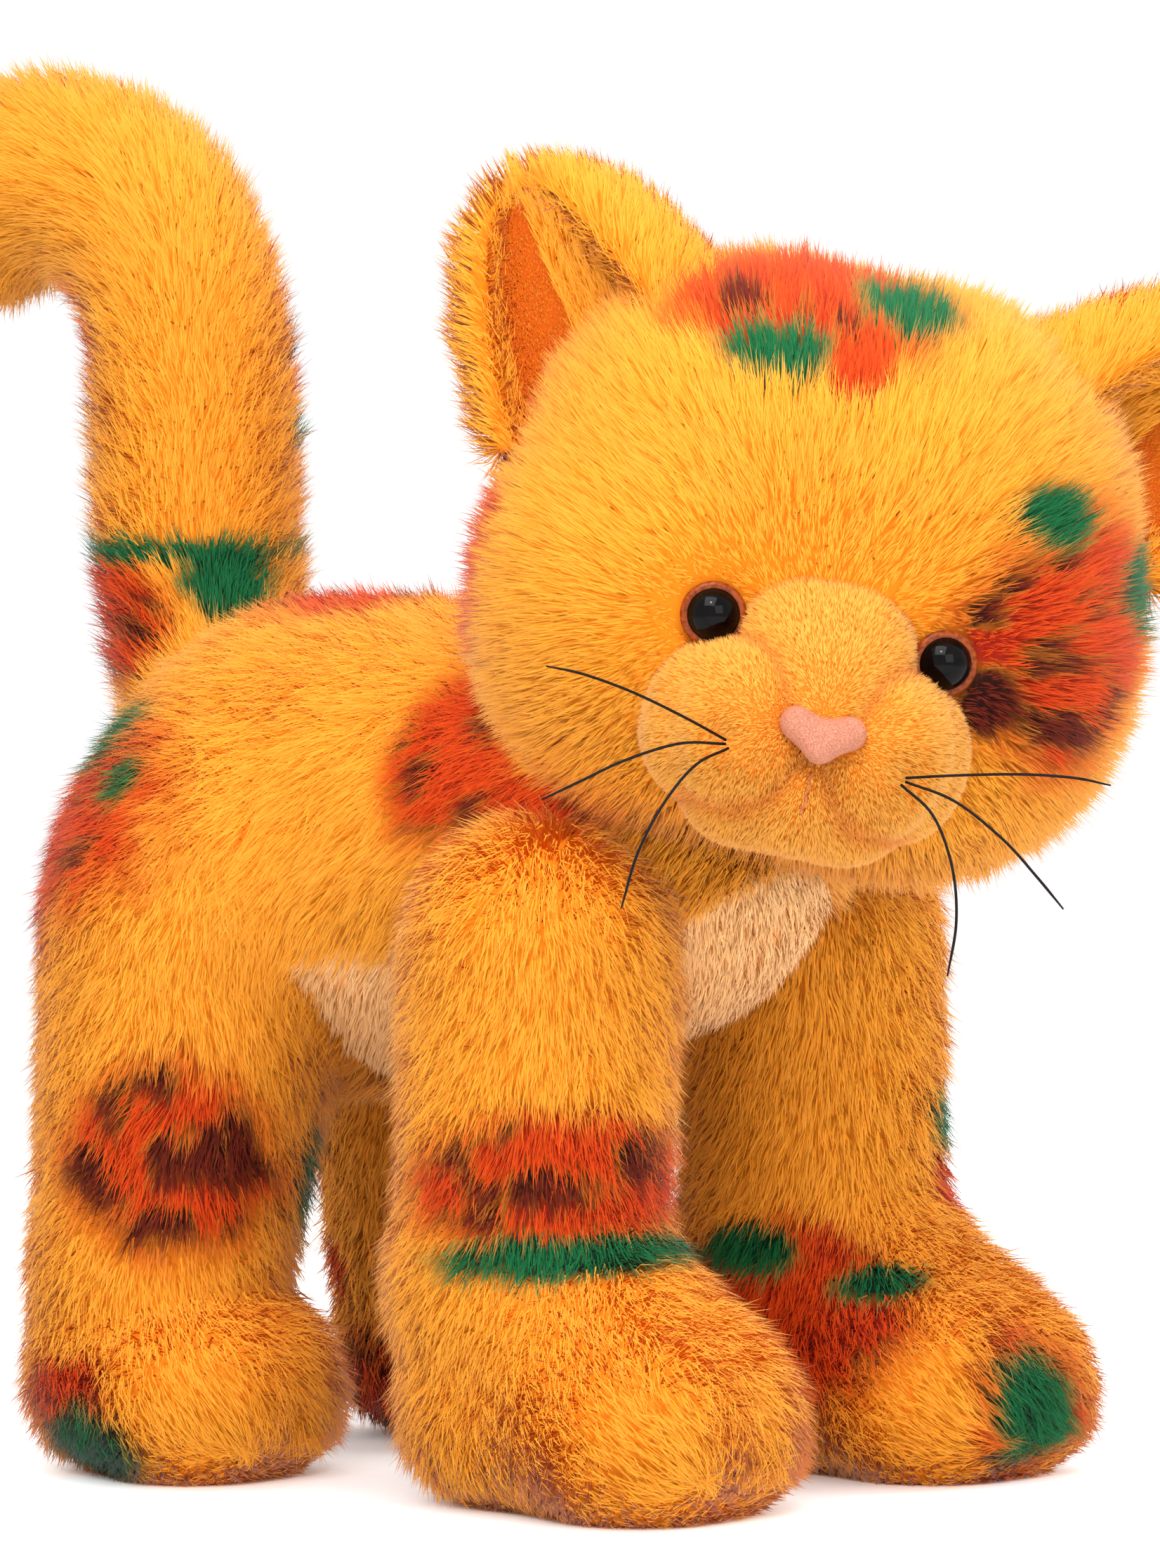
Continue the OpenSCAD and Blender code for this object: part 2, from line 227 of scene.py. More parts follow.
@dataclass
class Grid:
    """A surface as rows and columns of points with a normal at each, in one placement's frame."""

    points: Array
    normals: Array
    wraps: bool = True
    first_pole: bool = True
    last_pole: bool = True

    def faces(self) -> tuple[Array, Array, Array]:
        """The grid as closed faces.

        A row that is a pole becomes one vertex with triangles round it, and the columns join up if the grid
        wraps.

        Returns:
            The row-major index of each vertex's grid point, the corners of every face, and each face's
            first corner.
        """
        rows, columns = self.points.shape[:2]
        index = np.arange(rows * columns).reshape(rows, columns)
        keep = np.ones((rows, columns), bool)
        if self.first_pole:
            index[0, :] = index[0, 0]
            keep[0, 1:] = False
        if self.last_pole:
            index[-1, :] = index[-1, 0]
            keep[-1, 1:] = False
        fresh = np.cumsum(keep.ravel()) - 1
        index = fresh[index]
        if self.wraps:
            index = np.concatenate([index, index[:, :1]], axis=1)
        a, b, c, d = index[:-1, :-1], index[1:, :-1], index[1:, 1:], index[:-1, 1:]
        first = 1 if self.first_pole else 0
        last = -1 if self.last_pole else None
        quads = np.stack([a, b, c, d], axis=-1)[first:last].reshape(-1, 4)
        fans = []
        if self.first_pole:
            fans.append(np.stack([a[0], b[0], c[0]], axis=-1))
        if self.last_pole:
            fans.append(np.stack([a[-1], b[-1], d[-1]], axis=-1))
        fan = np.concatenate(fans) if fans else np.zeros((0, 3), int)
        corners = np.concatenate([quads.ravel(), fan.ravel()])
        starts = np.concatenate([np.arange(len(quads)) * 4, len(quads) * 4 + np.arange(len(fan)) * 3])
        return np.flatnonzero(keep.ravel()), corners, starts

    def scattered(self, each_mm2: float, seed: int) -> tuple[Array, Array]:
        """Random places on the surface, spread by area.

        A cell is picked in proportion to its area, and a place in it is the blend of its four corners.

        Args:
            each_mm2: how many places a square millimetre gets.
            seed: fixes the places.

        Returns:
            The places and their unit normals.
        """
        p, n = self.points, self.normals
        if self.wraps:
            p = np.concatenate([p, p[:, :1]], axis=1)
            n = np.concatenate([n, n[:, :1]], axis=1)
        across = np.cross(p[1:, 1:] - p[:-1, :-1], p[:-1, 1:] - p[1:, :-1])
        area = np.cumsum(0.5 * np.linalg.norm(across, axis=-1).ravel())
        rng = np.random.default_rng(seed)
        count = int(area[-1] * each_mm2)
        cell = np.searchsorted(area, rng.random(count) * area[-1])
        i, j = np.divmod(np.minimum(cell, len(area) - 1), p.shape[1] - 1)
        u, v = rng.random((count, 1)), rng.random((count, 1))

        def blended(values: Array) -> Array:
            """The blend of the four corner values of each picked cell."""
            low = values[i, j] * (1 - v) + values[i, j + 1] * v
            high = values[i + 1, j] * (1 - v) + values[i + 1, j + 1] * v
            return low * (1 - u) + high * u

        return blended(p), unit(blended(n))


def grid_normals(points: Array, wraps: bool) -> Array:
    """Unit normals of a grid: the cross product of the steps along the rows and along the columns.

    Args:
        points: rows and columns of places.
        wraps: whether the last column joins the first.

    Returns:
        One normal a place.
    """
    down = np.gradient(points, axis=0)
    if wraps:
        across = np.roll(points, -1, axis=1) - np.roll(points, 1, axis=1)
    else:
        across = np.gradient(points, axis=1)
    flat = np.linalg.norm(across, axis=-1) < 1e-4
    normals = unit(np.cross(down, across))
    for row, neighbour in ((0, 1), (-1, -2)):
        if flat[row].all():
            normals[row] = unit(normals[neighbour].mean(axis=0))
    return normals


def tube(line: Array, radii: Array, around: int, reference: Point = (1.0, 0.0, 0.0)) -> Grid:
    """A round tube along a line, closed by a pole at each end.

    Each ring's point is the line's point plus the radius times cos and sin of the angle along two
    directions square to the line.

    Args:
        line: places along the middle.
        radii: the radius at each place.
        around: points in a ring.
        reference: a direction that is never along the line.

    Returns:
        The closed grid.
    """
    along = unit(np.gradient(line, axis=0))
    side = unit(np.cross(np.array(reference), along))
    other = np.cross(along, side)
    angle = np.linspace(0, 2 * np.pi, around, endpoint=False)
    cos, sin = np.cos(angle)[None, :, None], np.sin(angle)[None, :, None]
    # Rows run backwards along the line, so that the faces look outwards.
    points = line[:, None] + radii[:, None, None] * (cos * side[:, None] + sin * other[:, None])
    ends = [np.repeat(end[None, None], around, axis=1) for end in (line[0], line[-1])]
    points = np.concatenate([ends[0], points, ends[1]])
    points = points[::-1]
    return Grid(points, grid_normals(points, True))


# ---------------------------------------------------------------- stuffed forms


@dataclass(frozen=True)
class Dent:
    """A soft hollow that a seam, an eye or a stitch pulls into a form."""

    centre: Point
    radius: float
    depth: float


@dataclass(frozen=True)
class Form:
    """A stuffed form: balls joined by round links, all melted together."""

    balls: tuple[Ball, ...]
    links: tuple[tuple[int, int], ...]
    softness: float = 3.0
    dents: tuple[Dent, ...] = ()
    floor: Optional[float] = None

    def gap(self, points: Array) -> Array:
        """Distance outside the form, which is negative inside.

        A link's distance is that to the nearest place on its line less the radius there. Links melt
        together as -s log(sum(exp(-d / s))), and each dent adds its depth times a bell curve.

        Args:
            points: places in the form's frame.

        Returns:
            One distance a place.
        """
        balls = np.array(self.balls, float)
        total = np.zeros(points.shape[:-1])
        for start, end in self.links:
            a, b = balls[start], balls[end]
            line = b[:3] - a[:3]
            t = np.clip(((points - a[:3]) @ line) / max(float(line @ line), 1e-9), 0, 1)
            near = a[:3] + t[..., None] * line
            distance = np.linalg.norm(points - near, axis=-1) - (a[3] + t * (b[3] - a[3]))
            total += np.exp(-np.minimum(distance, 600.0 * self.softness) / self.softness)
        value = -self.softness * np.log(np.maximum(total, 1e-280))
        for dent in self.dents:
            squared = np.sum((points - np.array(dent.centre)) ** 2, axis=-1)
            value += dent.depth * np.exp(-squared / (2 * dent.radius**2))
        return value

    def normals(self, points: Array) -> Array:
        """Unit normals, as the slope of the gap over half a millimetre along each axis."""
        steps = 0.5 * np.eye(3)
        return unit(np.stack([self.gap(points + s) - self.gap(points - s) for s in steps], axis=-1))

    def cast(
        self,
        centre: Point,
        stretch: Point,
        pole: str = "Z",
        rows: int = 56,
        columns: int = 72,
        around: tuple[float, float] = (0.0, 360.0),
        down: tuple[float, float] = (0.0, 180.0),
        inset: float = 0.0,
    ) -> Grid:
        """The form's surface as a grid, found by rays from a centre.

        The rays point at an ellipsoid of the given half widths: sin(a) cos(b), sin(a) sin(b) and cos(a)
        along the three axes, with the pole's axis last. Halving each ray's bracket 26 times gives its
        point.

        Args:
            centre: a place inside, from which the whole surface is seen.
            stretch: half widths along X, Y and Z that spread the rays evenly.
            pole: the axis that the poles lie on.
            rows: rows from pole to pole.
            columns: columns around.
            around: first and last angle about the pole, in degrees.
            down: first and last angle from the pole, in degrees.
            inset: how far inside the form's surface the grid lies.

        Returns:
            The grid in the form's frame.
        """
        order = {"X": (1, 2, 0), "Y": (2, 0, 1), "Z": (0, 1, 2)}[pole]
        whole = around[1] - around[0] >= 360.0
        a = np.radians(np.linspace(down[0], down[1], rows))[:, None]
        b = np.radians(np.linspace(around[0], around[1], columns, endpoint=not whole))[None, :]
        rays = np.zeros((rows, columns, 3))
        for axis, part in zip(order, (np.sin(a) * np.cos(b), np.sin(a) * np.sin(b), np.cos(a) + 0 * b)):
            rays[..., axis] = part * stretch[axis]
        rays = unit(rays)
        near, far = np.zeros((rows, columns)), np.full((rows, columns), 2.2 * max(stretch))
        for _ in range(26):
            middle = 0.5 * (near + far)
            out = self.gap(np.array(centre) + rays * middle[..., None]) > -inset
            near, far = np.where(out, near, middle), np.where(out, middle, far)
        points = np.array(centre) + rays * near[..., None]
        normals = self.normals(points)
        if self.floor is not None:
            low = points[..., 2] < self.floor + inset
            points[..., 2] = np.maximum(points[..., 2], self.floor + inset)
            normals[low] = (0.0, 0.0, -1.0)
        return Grid(points, normals, whole, down[0] == 0.0, down[1] == 180.0)


# ---------------------------------------------------------------- dyed patches


class Dye(Enum):
    """The colours printed on the gold pile, by their place in a patch's mask."""

    ORANGE = 0
    BROWN = 1
    GREEN = 2


@dataclass(frozen=True)
class Blot:
    """One printed patch: a rounded blob with a ragged edge, in its piece's own frame."""

    dye: Dye
    centre: Point
    radii: Point
    mottle: float = 0.5
    feather: float = 0.24

    def mask(self, points: Array) -> Array:
        """How much of the patch each place gets, from its distance in radii roughened by noise."""
        away = np.linalg.norm((points - np.array(self.centre)) / np.array(self.radii), axis=-1)
        away += 0.22 * rough(points, 9.0, 7 + self.dye.value) + 0.05 * noise(points, 1.3, 3)
        return 1.0 - ramp(away, 1.0 - self.feather, 1.0 + self.feather)


def dyed(points: Array, blots: Sequence[Blot]) -> Array:
    """The dye of each place.

    Later patches cover earlier ones, and brown mottling lies where noise is high inside an orange patch.

    Args:
        points: places in the frame that the blots are in.
        blots: the patches, from the lowest to the uppermost.

    Returns:
        Orange, brown and green masks in the last axis.
    """
    masks = np.zeros(points.shape[:-1] + (3,))
    for blot in blots:
        mask = blot.mask(points)
        masks *= (1.0 - mask)[..., None]
        masks[..., blot.dye.value] += mask
        if blot.dye is Dye.ORANGE and blot.mottle > 0:
            spots = ramp(rough(points * (1.0, 1.0, 1.3), 11.0, 41), 0.62 - blot.mottle, 0.86 - blot.mottle)
            spots = mask * spots * ramp(mask, 0.6, 1.0)
            masks[..., Dye.ORANGE.value] -= spots
            masks[..., Dye.BROWN.value] += spots
    return np.clip(masks, 0.0, 1.0)


# ---------------------------------------------------------------- meshes


def make_piece(
    name: str,
    vertices: Array,
    corners: Array,
    starts: Array,
    material: bpy.types.Material,
    dye: Optional[Array] = None,
    tone: Optional[Array] = None,
    normals: Optional[Array] = None,
    atlas: Optional[Array] = None,
) -> bpy.types.Object:
    """One object from whole arrays.

    Args:
        name: the piece's name.
        vertices: places in the row's frame, in millimetres.
        corners: vertex of each face corner.
        starts: first corner of each face.
        material: its finish.
        dye: orange, brown, green and height along the pile, one row a vertex; the height picks the painted
            depth shade and painted light of the fibre, and on the muzzle the orange also holds painted seam
            shade.
        tone: lightness of the vertex's own fibre, from 0 to 1.
        normals: shading normals of the vertices.
        atlas: a place on the texture sheet for each corner.

    Returns:
        The object, at the origin.
    """
    mesh = bpy.data.meshes.new(name)
    mesh.vertices.add(len(vertices))
    mesh.vertices.foreach_set("co", (vertices * MM).astype(np.float32).ravel())
    mesh.loops.add(len(corners))
    mesh.loops.foreach_set("vertex_index", corners.astype(np.int32))
    mesh.polygons.add(len(starts))
    mesh.polygons.foreach_set("loop_start", starts.astype(np.int32))
    mesh.polygons.foreach_set("use_smooth", np.ones(len(starts), bool))
    mesh.update(calc_edges=True)
    if dye is not None:
        layer = mesh.color_attributes.new("dye", "FLOAT_COLOR", "POINT")
        layer.data.foreach_set("color", dye.astype(np.float32).ravel())
    if tone is not None:
        mesh.attributes.new("tone", "FLOAT", "POINT").data.foreach_set("value", tone.astype(np.float32))
    if atlas is not None:
        mesh.uv_layers.new(name="OFBake").data.foreach_set("uv", atlas.astype(np.float32).ravel())
    if normals is not None:
        mesh.attributes.new("custom_normal", "FLOAT_VECTOR", "POINT").data.foreach_set(
            "vector", unit(normals).astype(np.float32).ravel()
        )
    mesh.materials.append(material)
    piece = bpy.data.objects.new(name, mesh)
    bpy.context.scene.collection.objects.link(piece)
    return piece


def settle(
    piece: bpy.types.Object, body: str, nodes: Sequence[str] = ()
) -> None:
    """Gives a piece its body, hides the CAD nodes that it replaces and logs its size."""
    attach(piece, body)
    if nodes:
        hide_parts(*nodes)
    mesh = piece.data
    LOG.info("%s: %d vertices, %d faces, on %s", piece.name, len(mesh.vertices), len(mesh.polygons), body)


def keep_above(piece: bpy.types.Object, height: float) -> None:
    """Lifts every vertex that is below a height, in millimetres, to it."""
    mesh = piece.data
    co = np.zeros(3 * len(mesh.vertices), np.float32)
    mesh.vertices.foreach_get("co", co)
    co = co.reshape(-1, 3)
    co[:, 2] = np.maximum(co[:, 2], height * MM)
    mesh.vertices.foreach_set("co", co.ravel())
    mesh.update()


# ---------------------------------------------------------------- pile


@dataclass(frozen=True)
class Pile:
    """One kind of pile cloth: how long, thick, dense and tousled its fibres are."""

    length: float
    width: float
    each_mm2: float
    spread: float = 0.25
    lean_root: float = 28.0
    lean_tip: float = 58.0
    lock: float = 4.5
    gather: float = 0.42
    swirl: float = 0.3
    stray: float = 0.13
    normal_jitter: float = 0.09


@dataclass
class Roots:
    """Where fibres start: places, skin normals and the way that the pile lies, in one placement's frame."""

    points: Array
    normals: Array
    nap: Array
    scale: Array
    dye: Array


def lock_centres(points: Array, size: float, seed: int) -> Array:
    """The middle of the lock that each fibre belongs to.

    Every cell of a lattice has one middle at a random place in it, and a fibre takes the nearest among its
    own cell and the 26 round it.

    Args:
        points: the fibres' roots.
        size: width of a cell.
        seed: fixes the middles.

    Returns:
        One middle a root.
    """
    cell = np.floor(points / size)
    best = np.full(len(points), 1e9)
    centre = np.zeros_like(points)
    for shift in np.ndindex(3, 3, 3):
        near = cell + np.array(shift) - 1
        middle = size * (near + np.stack([hashed(near, seed + k) for k in range(3)], axis=-1))
        away = np.sum((points - middle) ** 2, axis=-1)
        closer = away < best
        best[closer] = away[closer]
        centre[closer] = middle[closer]
    return centre


def grow(
    name: str, roots: Roots, pile: Pile, place: Placement, material: bpy.types.Material, seed: int
) -> bpy.types.Object:
    """The coat of one skin, each fibre a thin ribbon that bends over and ends in a point.

    A fibre leaves the skin at the root lean, bends to the tip lean along its nap, and its tip is drawn
    towards its lock's middle. Its two lower cross lines are square to it, turned by a random angle.

    Args:
        name: the piece's name.
        roots: where the fibres start.
        pile: the kind of cloth.
        place: the frame that the roots are in.
        material: the finish.
        seed: fixes every random choice.

    Returns:
        The coat as one object.
    """
    rng = np.random.default_rng(seed)
    p, n = roots.points, roots.normals
    count = len(p)
    flow = unit(tangent(roots.nap, n))
    swirl = tangent(noise3(p, 10.0, seed + 5), n) * pile.swirl
    swirl += tangent(rng.normal(0, pile.stray, (count, 3)), n)
    flow = unit(flow + swirl)
    wave = 1.0 + 0.16 * noise(p, 7.0, seed + 9)
    length = pile.length * roots.scale * wave * (1.0 + pile.spread * (2 * rng.random(count) - 1.0))
    length = length[:, None]
    low = np.radians(pile.lean_root + 12 * rng.normal(size=(count, 1)))
    high = np.radians(pile.lean_tip + 14 * rng.normal(size=(count, 1)))
    first = np.cos(low) * n + np.sin(low) * flow
    second = np.cos(high) * n + np.sin(high) * flow
    draw = tangent(lock_centres(p, pile.lock, seed + 13) - p, n) * pile.gather
    root = p - 0.4 * n
    middle = p + 0.5 * length * first + 0.35 * draw
    tip = middle + 0.5 * length * second + 0.65 * draw
    way = unit(tip - root)
    flat = unit(np.cross(way, n))
    lift = np.cross(flat, way)
    twist = np.radians(55.0) * (2 * rng.random((count, 1)) - 1.0)
    across = np.cos(twist) * flat + np.sin(twist) * lift
    width = pile.width * (0.75 + 0.5 * rng.random((count, 1)))
    broad, narrow = 0.5 * width * across, 0.42 * width * across
    vertices = np.stack([root - broad, root + broad, middle + narrow, middle - narrow, tip], axis=1)
    shade = unit(n + pile.normal_jitter * rng.normal(size=(count, 3)) + 0.25 * way)
    normals = np.repeat(shade[:, None], 5, axis=1)
    first_vertex = 5 * np.arange(count)[:, None]
    corners = (first_vertex + np.array([[0, 1, 2, 3, 3, 2, 4]])).ravel()
    starts = (7 * np.arange(count)[:, None] + np.array([[0, 4]])).ravel()
    dye = np.zeros((count, 5, 4))
    dye[..., :3] = roots.dye[:, None]
    # Height along the fibre, which picks the root's painted depth shade and the tip's painted light.
    dye[..., 3] = np.array([0.0, 0.0, 0.55, 0.55, 1.0])
    tone = np.repeat(np.clip(0.5 + 0.17 * rng.normal(size=count) + 0.16 * noise(p, 5.0, seed + 17), 0, 1), 5)
    side = int(math.ceil(math.sqrt(count)))
    spot = np.stack(np.divmod(np.arange(count), side), axis=-1)[:, None]
    inside = np.array([[0.2, 0.15], [0.8, 0.15], [0.7, 0.5], [0.3, 0.5], [0.3, 0.5], [0.7, 0.5], [0.5, 0.85]])
    atlas = (spot + inside) / side
    coat = make_piece(
        name,
        place.out(vertices.reshape(-1, 3)),
        corners,
        starts,
        material,
        dye.reshape(-1, 4),
        tone,
        place.out_direction(normals.reshape(-1, 3)),
        atlas.reshape(-1, 2),
    )
    # Real pile lets light through, so the shadows come from the skins under it.
    coat.visible_shadow = False
    return coat


@dataclass(frozen=True)
class Coat:
    """How one skin is dressed: its pile, nap, patches, bare places, fibre lengths and any painted shade laid
    in as orange.
    """

    pile: Pile
    nap: Masks
    blots: tuple[Blot, ...] = ()
    bare: Optional[Masks] = None
    scale: Optional[Masks] = None
    tint: Optional[Masks] = None
    floor: Optional[float] = None

    def roots(self, grid: Grid, seed: int) -> Roots:
        """The roots on a skin, without those in bare places."""
        points, normals = grid.scattered(self.pile.each_mm2, seed)
        if self.bare is not None:
            keep = ~self.bare(points)
            points, normals = points[keep], normals[keep]
        scale = self.scale(points) if self.scale else np.ones(len(points))
        dye = dyed(points, self.blots)
        # Painted shade: orange laid into the roots' dye where the mask asks, standing in for shade in seams.
        if self.tint is not None:
            dye[:, Dye.ORANGE.value] = np.maximum(dye[:, Dye.ORANGE.value], self.tint(points))
        return Roots(points, normals, self.nap(points), scale, dye)

    def cover(
        self,
        name: str,
        grid: Grid,
        place: Placement,
        wardrobe: "Wardrobe",
        finish: str,
        body: str,
        seeds: tuple[int, int],
    ) -> None:
        """Grows the coat on a skin and settles it.

        Args:
            name: the coat's name.
            grid: the skin.
            place: the frame that the skin is in.
            wardrobe: the finishes.
            finish: the finish's name.
            body: the body that it rides on.
            seeds: one for the roots and one for the fibres.
        """
        fur = grow(name, self.roots(grid, seeds[0]), self.pile, place, wardrobe[finish], seeds[1])
        if self.floor is not None:
            keep_above(fur, self.floor)
        settle(fur, body)


def lay_skin(
    name: str, grid: Grid, place: Placement, material: bpy.types.Material, blots: Sequence[Blot] = ()
) -> bpy.types.Object:
    """A skin's cloth as an object, dyed as its pile's roots are, so that it wears their painted depth shade.
    """
    used, corners, starts = grid.faces()
    points = grid.points.reshape(-1, 3)[used]
    dye = np.zeros((len(points), 4))
    dye[:, :3] = dyed(points, blots)
    tone = 0.5 + 0.2 * noise(points, 3.0, 2)
    return make_piece(name, place.out(points), corners, starts, material, dye, tone)


# ---------------------------------------------------------------- finishes

Colour = tuple[float, float, float]


def linear(red: int, green: int, blue: int) -> Colour:
    """A screen colour of 0 to 255 as light: ((c + 0.055) / 1.055) ^ 2.4 above the dark end."""
    parts = [c / 255.0 for c in (red, green, blue)]
    return tuple(c / 12.92 if c <= 0.04045 else ((c + 0.055) / 1.055) ** 2.4 for c in parts)


class Nodes:
    """A small helper that adds and joins the nodes of one tree."""

    def __init__(self, tree: bpy.types.NodeTree) -> None:
        """Keeps the tree."""
        self.tree = tree

    def add(self, kind: str, **settings: object) -> bpy.types.Node:
        """Adds a node and sets its properties."""
        node = self.tree.nodes.new(kind)
        for key, value in settings.items():
            setattr(node, key, value)
        return node

    def put(self, socket: bpy.types.NodeSocket, value: object) -> None:
        """Joins an output to a socket, or sets the socket's own value."""
        if isinstance(value, bpy.types.NodeSocket):
            self.tree.links.new(value, socket)
        elif isinstance(value, tuple) and len(value) == 3 and socket.type == "RGBA":
            socket.default_value = (*value, 1.0)
        else:
            socket.default_value = value

    def mix(self, factor: object, first: object, second: object, blend: str = "MIX") -> bpy.types.NodeSocket:
        """One colour turned into another by a factor."""
        node = self.add("ShaderNodeMix", data_type="RGBA", blend_type=blend)
        for index, value in ((0, factor), (6, first), (7, second)):
            self.put(node.inputs[index], value)
        return node.outputs[2]

    def sum(self, kind: str, *values: object) -> bpy.types.NodeSocket:
        """One sum of numbers, such as MULTIPLY."""
        node = self.add("ShaderNodeMath", operation=kind)
        for index, value in enumerate(values):
            self.put(node.inputs[index], value)
        return node.outputs[0]

    def stretch(
        self, value: object, low: float, high: float, to_low: float = 0.0, to_high: float = 1.0
    ) -> bpy.types.NodeSocket:
        """A smooth change of range from low..high to to_low..to_high."""
        node = self.add("ShaderNodeMapRange", interpolation_type="SMOOTHSTEP")
        for index, number in enumerate((value, low, high, to_low, to_high)):
            self.put(node.inputs[index], number)
        return node.outputs[0]

    def grain(self, coordinates: object, scale: float, detail: float = 2.0) -> bpy.types.NodeSocket:
        """Noise at so many cells a metre."""
        node = self.add("ShaderNodeTexNoise")
        self.put(node.inputs["Vector"], coordinates)
        node.inputs["Scale"].default_value = scale
        node.inputs["Detail"].default_value = detail
        return node.outputs["Fac"]


def new_group(
    name: str, inputs: Sequence[tuple[str, str]], outputs: Sequence[tuple[str, str]]
) -> tuple[bpy.types.NodeTree, Nodes, bpy.types.Node, bpy.types.Node]:
    """An empty node group with its sockets.

    Args:
        name: the group's name.
        inputs: names and socket types that go in.
        outputs: names and socket types that come out.

    Returns:
        The group, a helper for its tree, its input node and its output node.
    """
    group = bpy.data.node_groups.new(name, "ShaderNodeTree")
    for title, kind in inputs:
        group.interface.new_socket(title, in_out="INPUT", socket_type=kind)
    for title, kind in outputs:
        group.interface.new_socket(title, in_out="OUTPUT", socket_type=kind)
    nodes = Nodes(group)
    return group, nodes, nodes.add("NodeGroupInput"), nodes.add("NodeGroupOutput")


def pile_colour_group() -> bpy.types.NodeTree:
    """The colour of dyed pile.

    Each dye has a root and a tip colour: the deeper root colour is painted shade in the pile's depth, and the
    paler tip colour is painted light on the tips. The height along the fibre picks between them, the patch
    masks pick the dye, and the fibre's tone makes the result darker or lighter by the strength given.

    Returns:
        The group.
    """
    colour, number = "NodeSocketColor", "NodeSocketFloat"
    group, nodes, given, out = new_group(
        "dyed pile",
        [("Root", colour), ("Middle", colour), ("Tip", colour), ("Tone Strength", number)],
        [("Colour", colour)],
    )
    dye = nodes.add("ShaderNodeAttribute", attribute_name="dye")
    tone = nodes.add("ShaderNodeAttribute", attribute_name="tone")
    parts = nodes.add("ShaderNodeSeparateColor")
    nodes.put(parts.inputs[0], dye.outputs["Color"])
    along = dye.outputs["Alpha"]
    lower, upper = nodes.stretch(along, 0.0, 0.55), nodes.stretch(along, 0.45, 1.0)

    def fibre(root: object, middle: object, tip: object) -> bpy.types.NodeSocket:
        """One dye's colour at the height along the fibre, from the painted depth shade at the root to the
        painted light at the tip.
        """
        return nodes.mix(upper, nodes.mix(lower, root, middle), tip)

    result = fibre(given.outputs["Root"], given.outputs["Middle"], given.outputs["Tip"])
    # Root, middle and tip colours of each dye: deeper at the root as painted depth shade, paler at the tip as
    # painted light.
    dyes = (
        (parts.outputs[0], (linear(146, 26, 1), linear(192, 48, 2), linear(218, 76, 8))),
        (parts.outputs[1], (linear(40, 8, 2), linear(80, 18, 5), linear(118, 34, 9))),
        (parts.outputs[2], (linear(2, 46, 20), linear(6, 82, 42), linear(20, 106, 58))),
    )
    for mask, colours in dyes:
        result = nodes.mix(mask, result, fibre(*colours))
    gain = nodes.stretch(tone.outputs["Fac"], 0.0, 1.0, -1.0, 1.0)
    gain = nodes.sum("MULTIPLY_ADD", gain, given.outputs["Tone Strength"], 1.0)
    scale = nodes.add("ShaderNodeVectorMath", operation="SCALE")
    nodes.put(scale.inputs[0], result)
    nodes.put(scale.inputs["Scale"], gain)
    nodes.put(out.inputs["Colour"], scale.outputs[0])
    return group


def principled(name: str) -> tuple[bpy.types.Material, Nodes, bpy.types.Node]:
    """A new material.

    Args:
        name: its name.

    Returns:
        The material, a helper for its tree and its Principled shader.
    """
    material = bpy.data.materials.new(name)
    material.use_nodes = True
    nodes = Nodes(material.node_tree)
    return material, nodes, material.node_tree.nodes["Principled BSDF"]


@dataclass(frozen=True)
class PileFinish:
    """Pile cloth: deeper colour at the roots as painted depth shade, pale at the tips as painted light, with
    a soft bloom.
    """

    name: str
    root: Colour
    middle: Colour
    tip: Colour
    tone: float = 0.12
    roughness: float = 0.75
    sheen: float = 0.1

    def material(self, group: bpy.types.NodeTree) -> bpy.types.Material:
        """The finish as a material, with the shared colour group in it."""
        material, nodes, shader = principled(self.name)
        node = nodes.add("ShaderNodeGroup", node_tree=group)
        for title, value in (("Root", self.root), ("Middle", self.middle), ("Tip", self.tip)):
            nodes.put(node.inputs[title], value)
        node.inputs["Tone Strength"].default_value = self.tone
        nodes.put(shader.inputs["Base Color"], node.outputs["Colour"])
        shader.inputs["Roughness"].default_value = self.roughness
        shader.inputs["Specular IOR Level"].default_value = 0.15
        shader.inputs["Sheen Weight"].default_value = self.sheen
        shader.inputs["Sheen Roughness"].default_value = 0.4
        return material


@dataclass(frozen=True)
class PlainFinish:
    """Plastic, thread, filament, stuffing or cloth: two colours mixed by a fine grain with its bump."""

    name: str
    dark: Colour
    light: Colour
    scale: float
    roughness: tuple[float, float]
    bump: float
    coat: float = 0.0
    sheen: float = 0.0
    metallic: float = 0.0
    specular: float = 0.5

    def material(self) -> bpy.types.Material:
        """The finish as a material."""
        material, nodes, shader = principled(self.name)
        place = nodes.add("ShaderNodeTexCoord").outputs["Object"]
        grain = nodes.grain(place, self.scale)
        fine = nodes.grain(place, 4.0 * self.scale, 1.0)
        mask = nodes.stretch(grain, 0.3, 0.7)
        nodes.put(shader.inputs["Base Color"], nodes.mix(mask, self.dark, self.light))
        nodes.put(shader.inputs["Roughness"], nodes.stretch(fine, 0.3, 0.7, *self.roughness))
        bump = nodes.add("ShaderNodeBump")
        bump.inputs["Strength"].default_value = self.bump
        bump.inputs["Distance"].default_value = 0.0003
        nodes.put(bump.inputs["Height"], nodes.sum("ADD", grain, fine))
        nodes.put(shader.inputs["Normal"], bump.outputs["Normal"])
        shader.inputs["Coat Weight"].default_value = self.coat
        shader.inputs["Coat Roughness"].default_value = 0.02
        shader.inputs["Sheen Weight"].default_value = self.sheen
        shader.inputs["Metallic"].default_value = self.metallic
        shader.inputs["Specular IOR Level"].default_value = self.specular
        return material


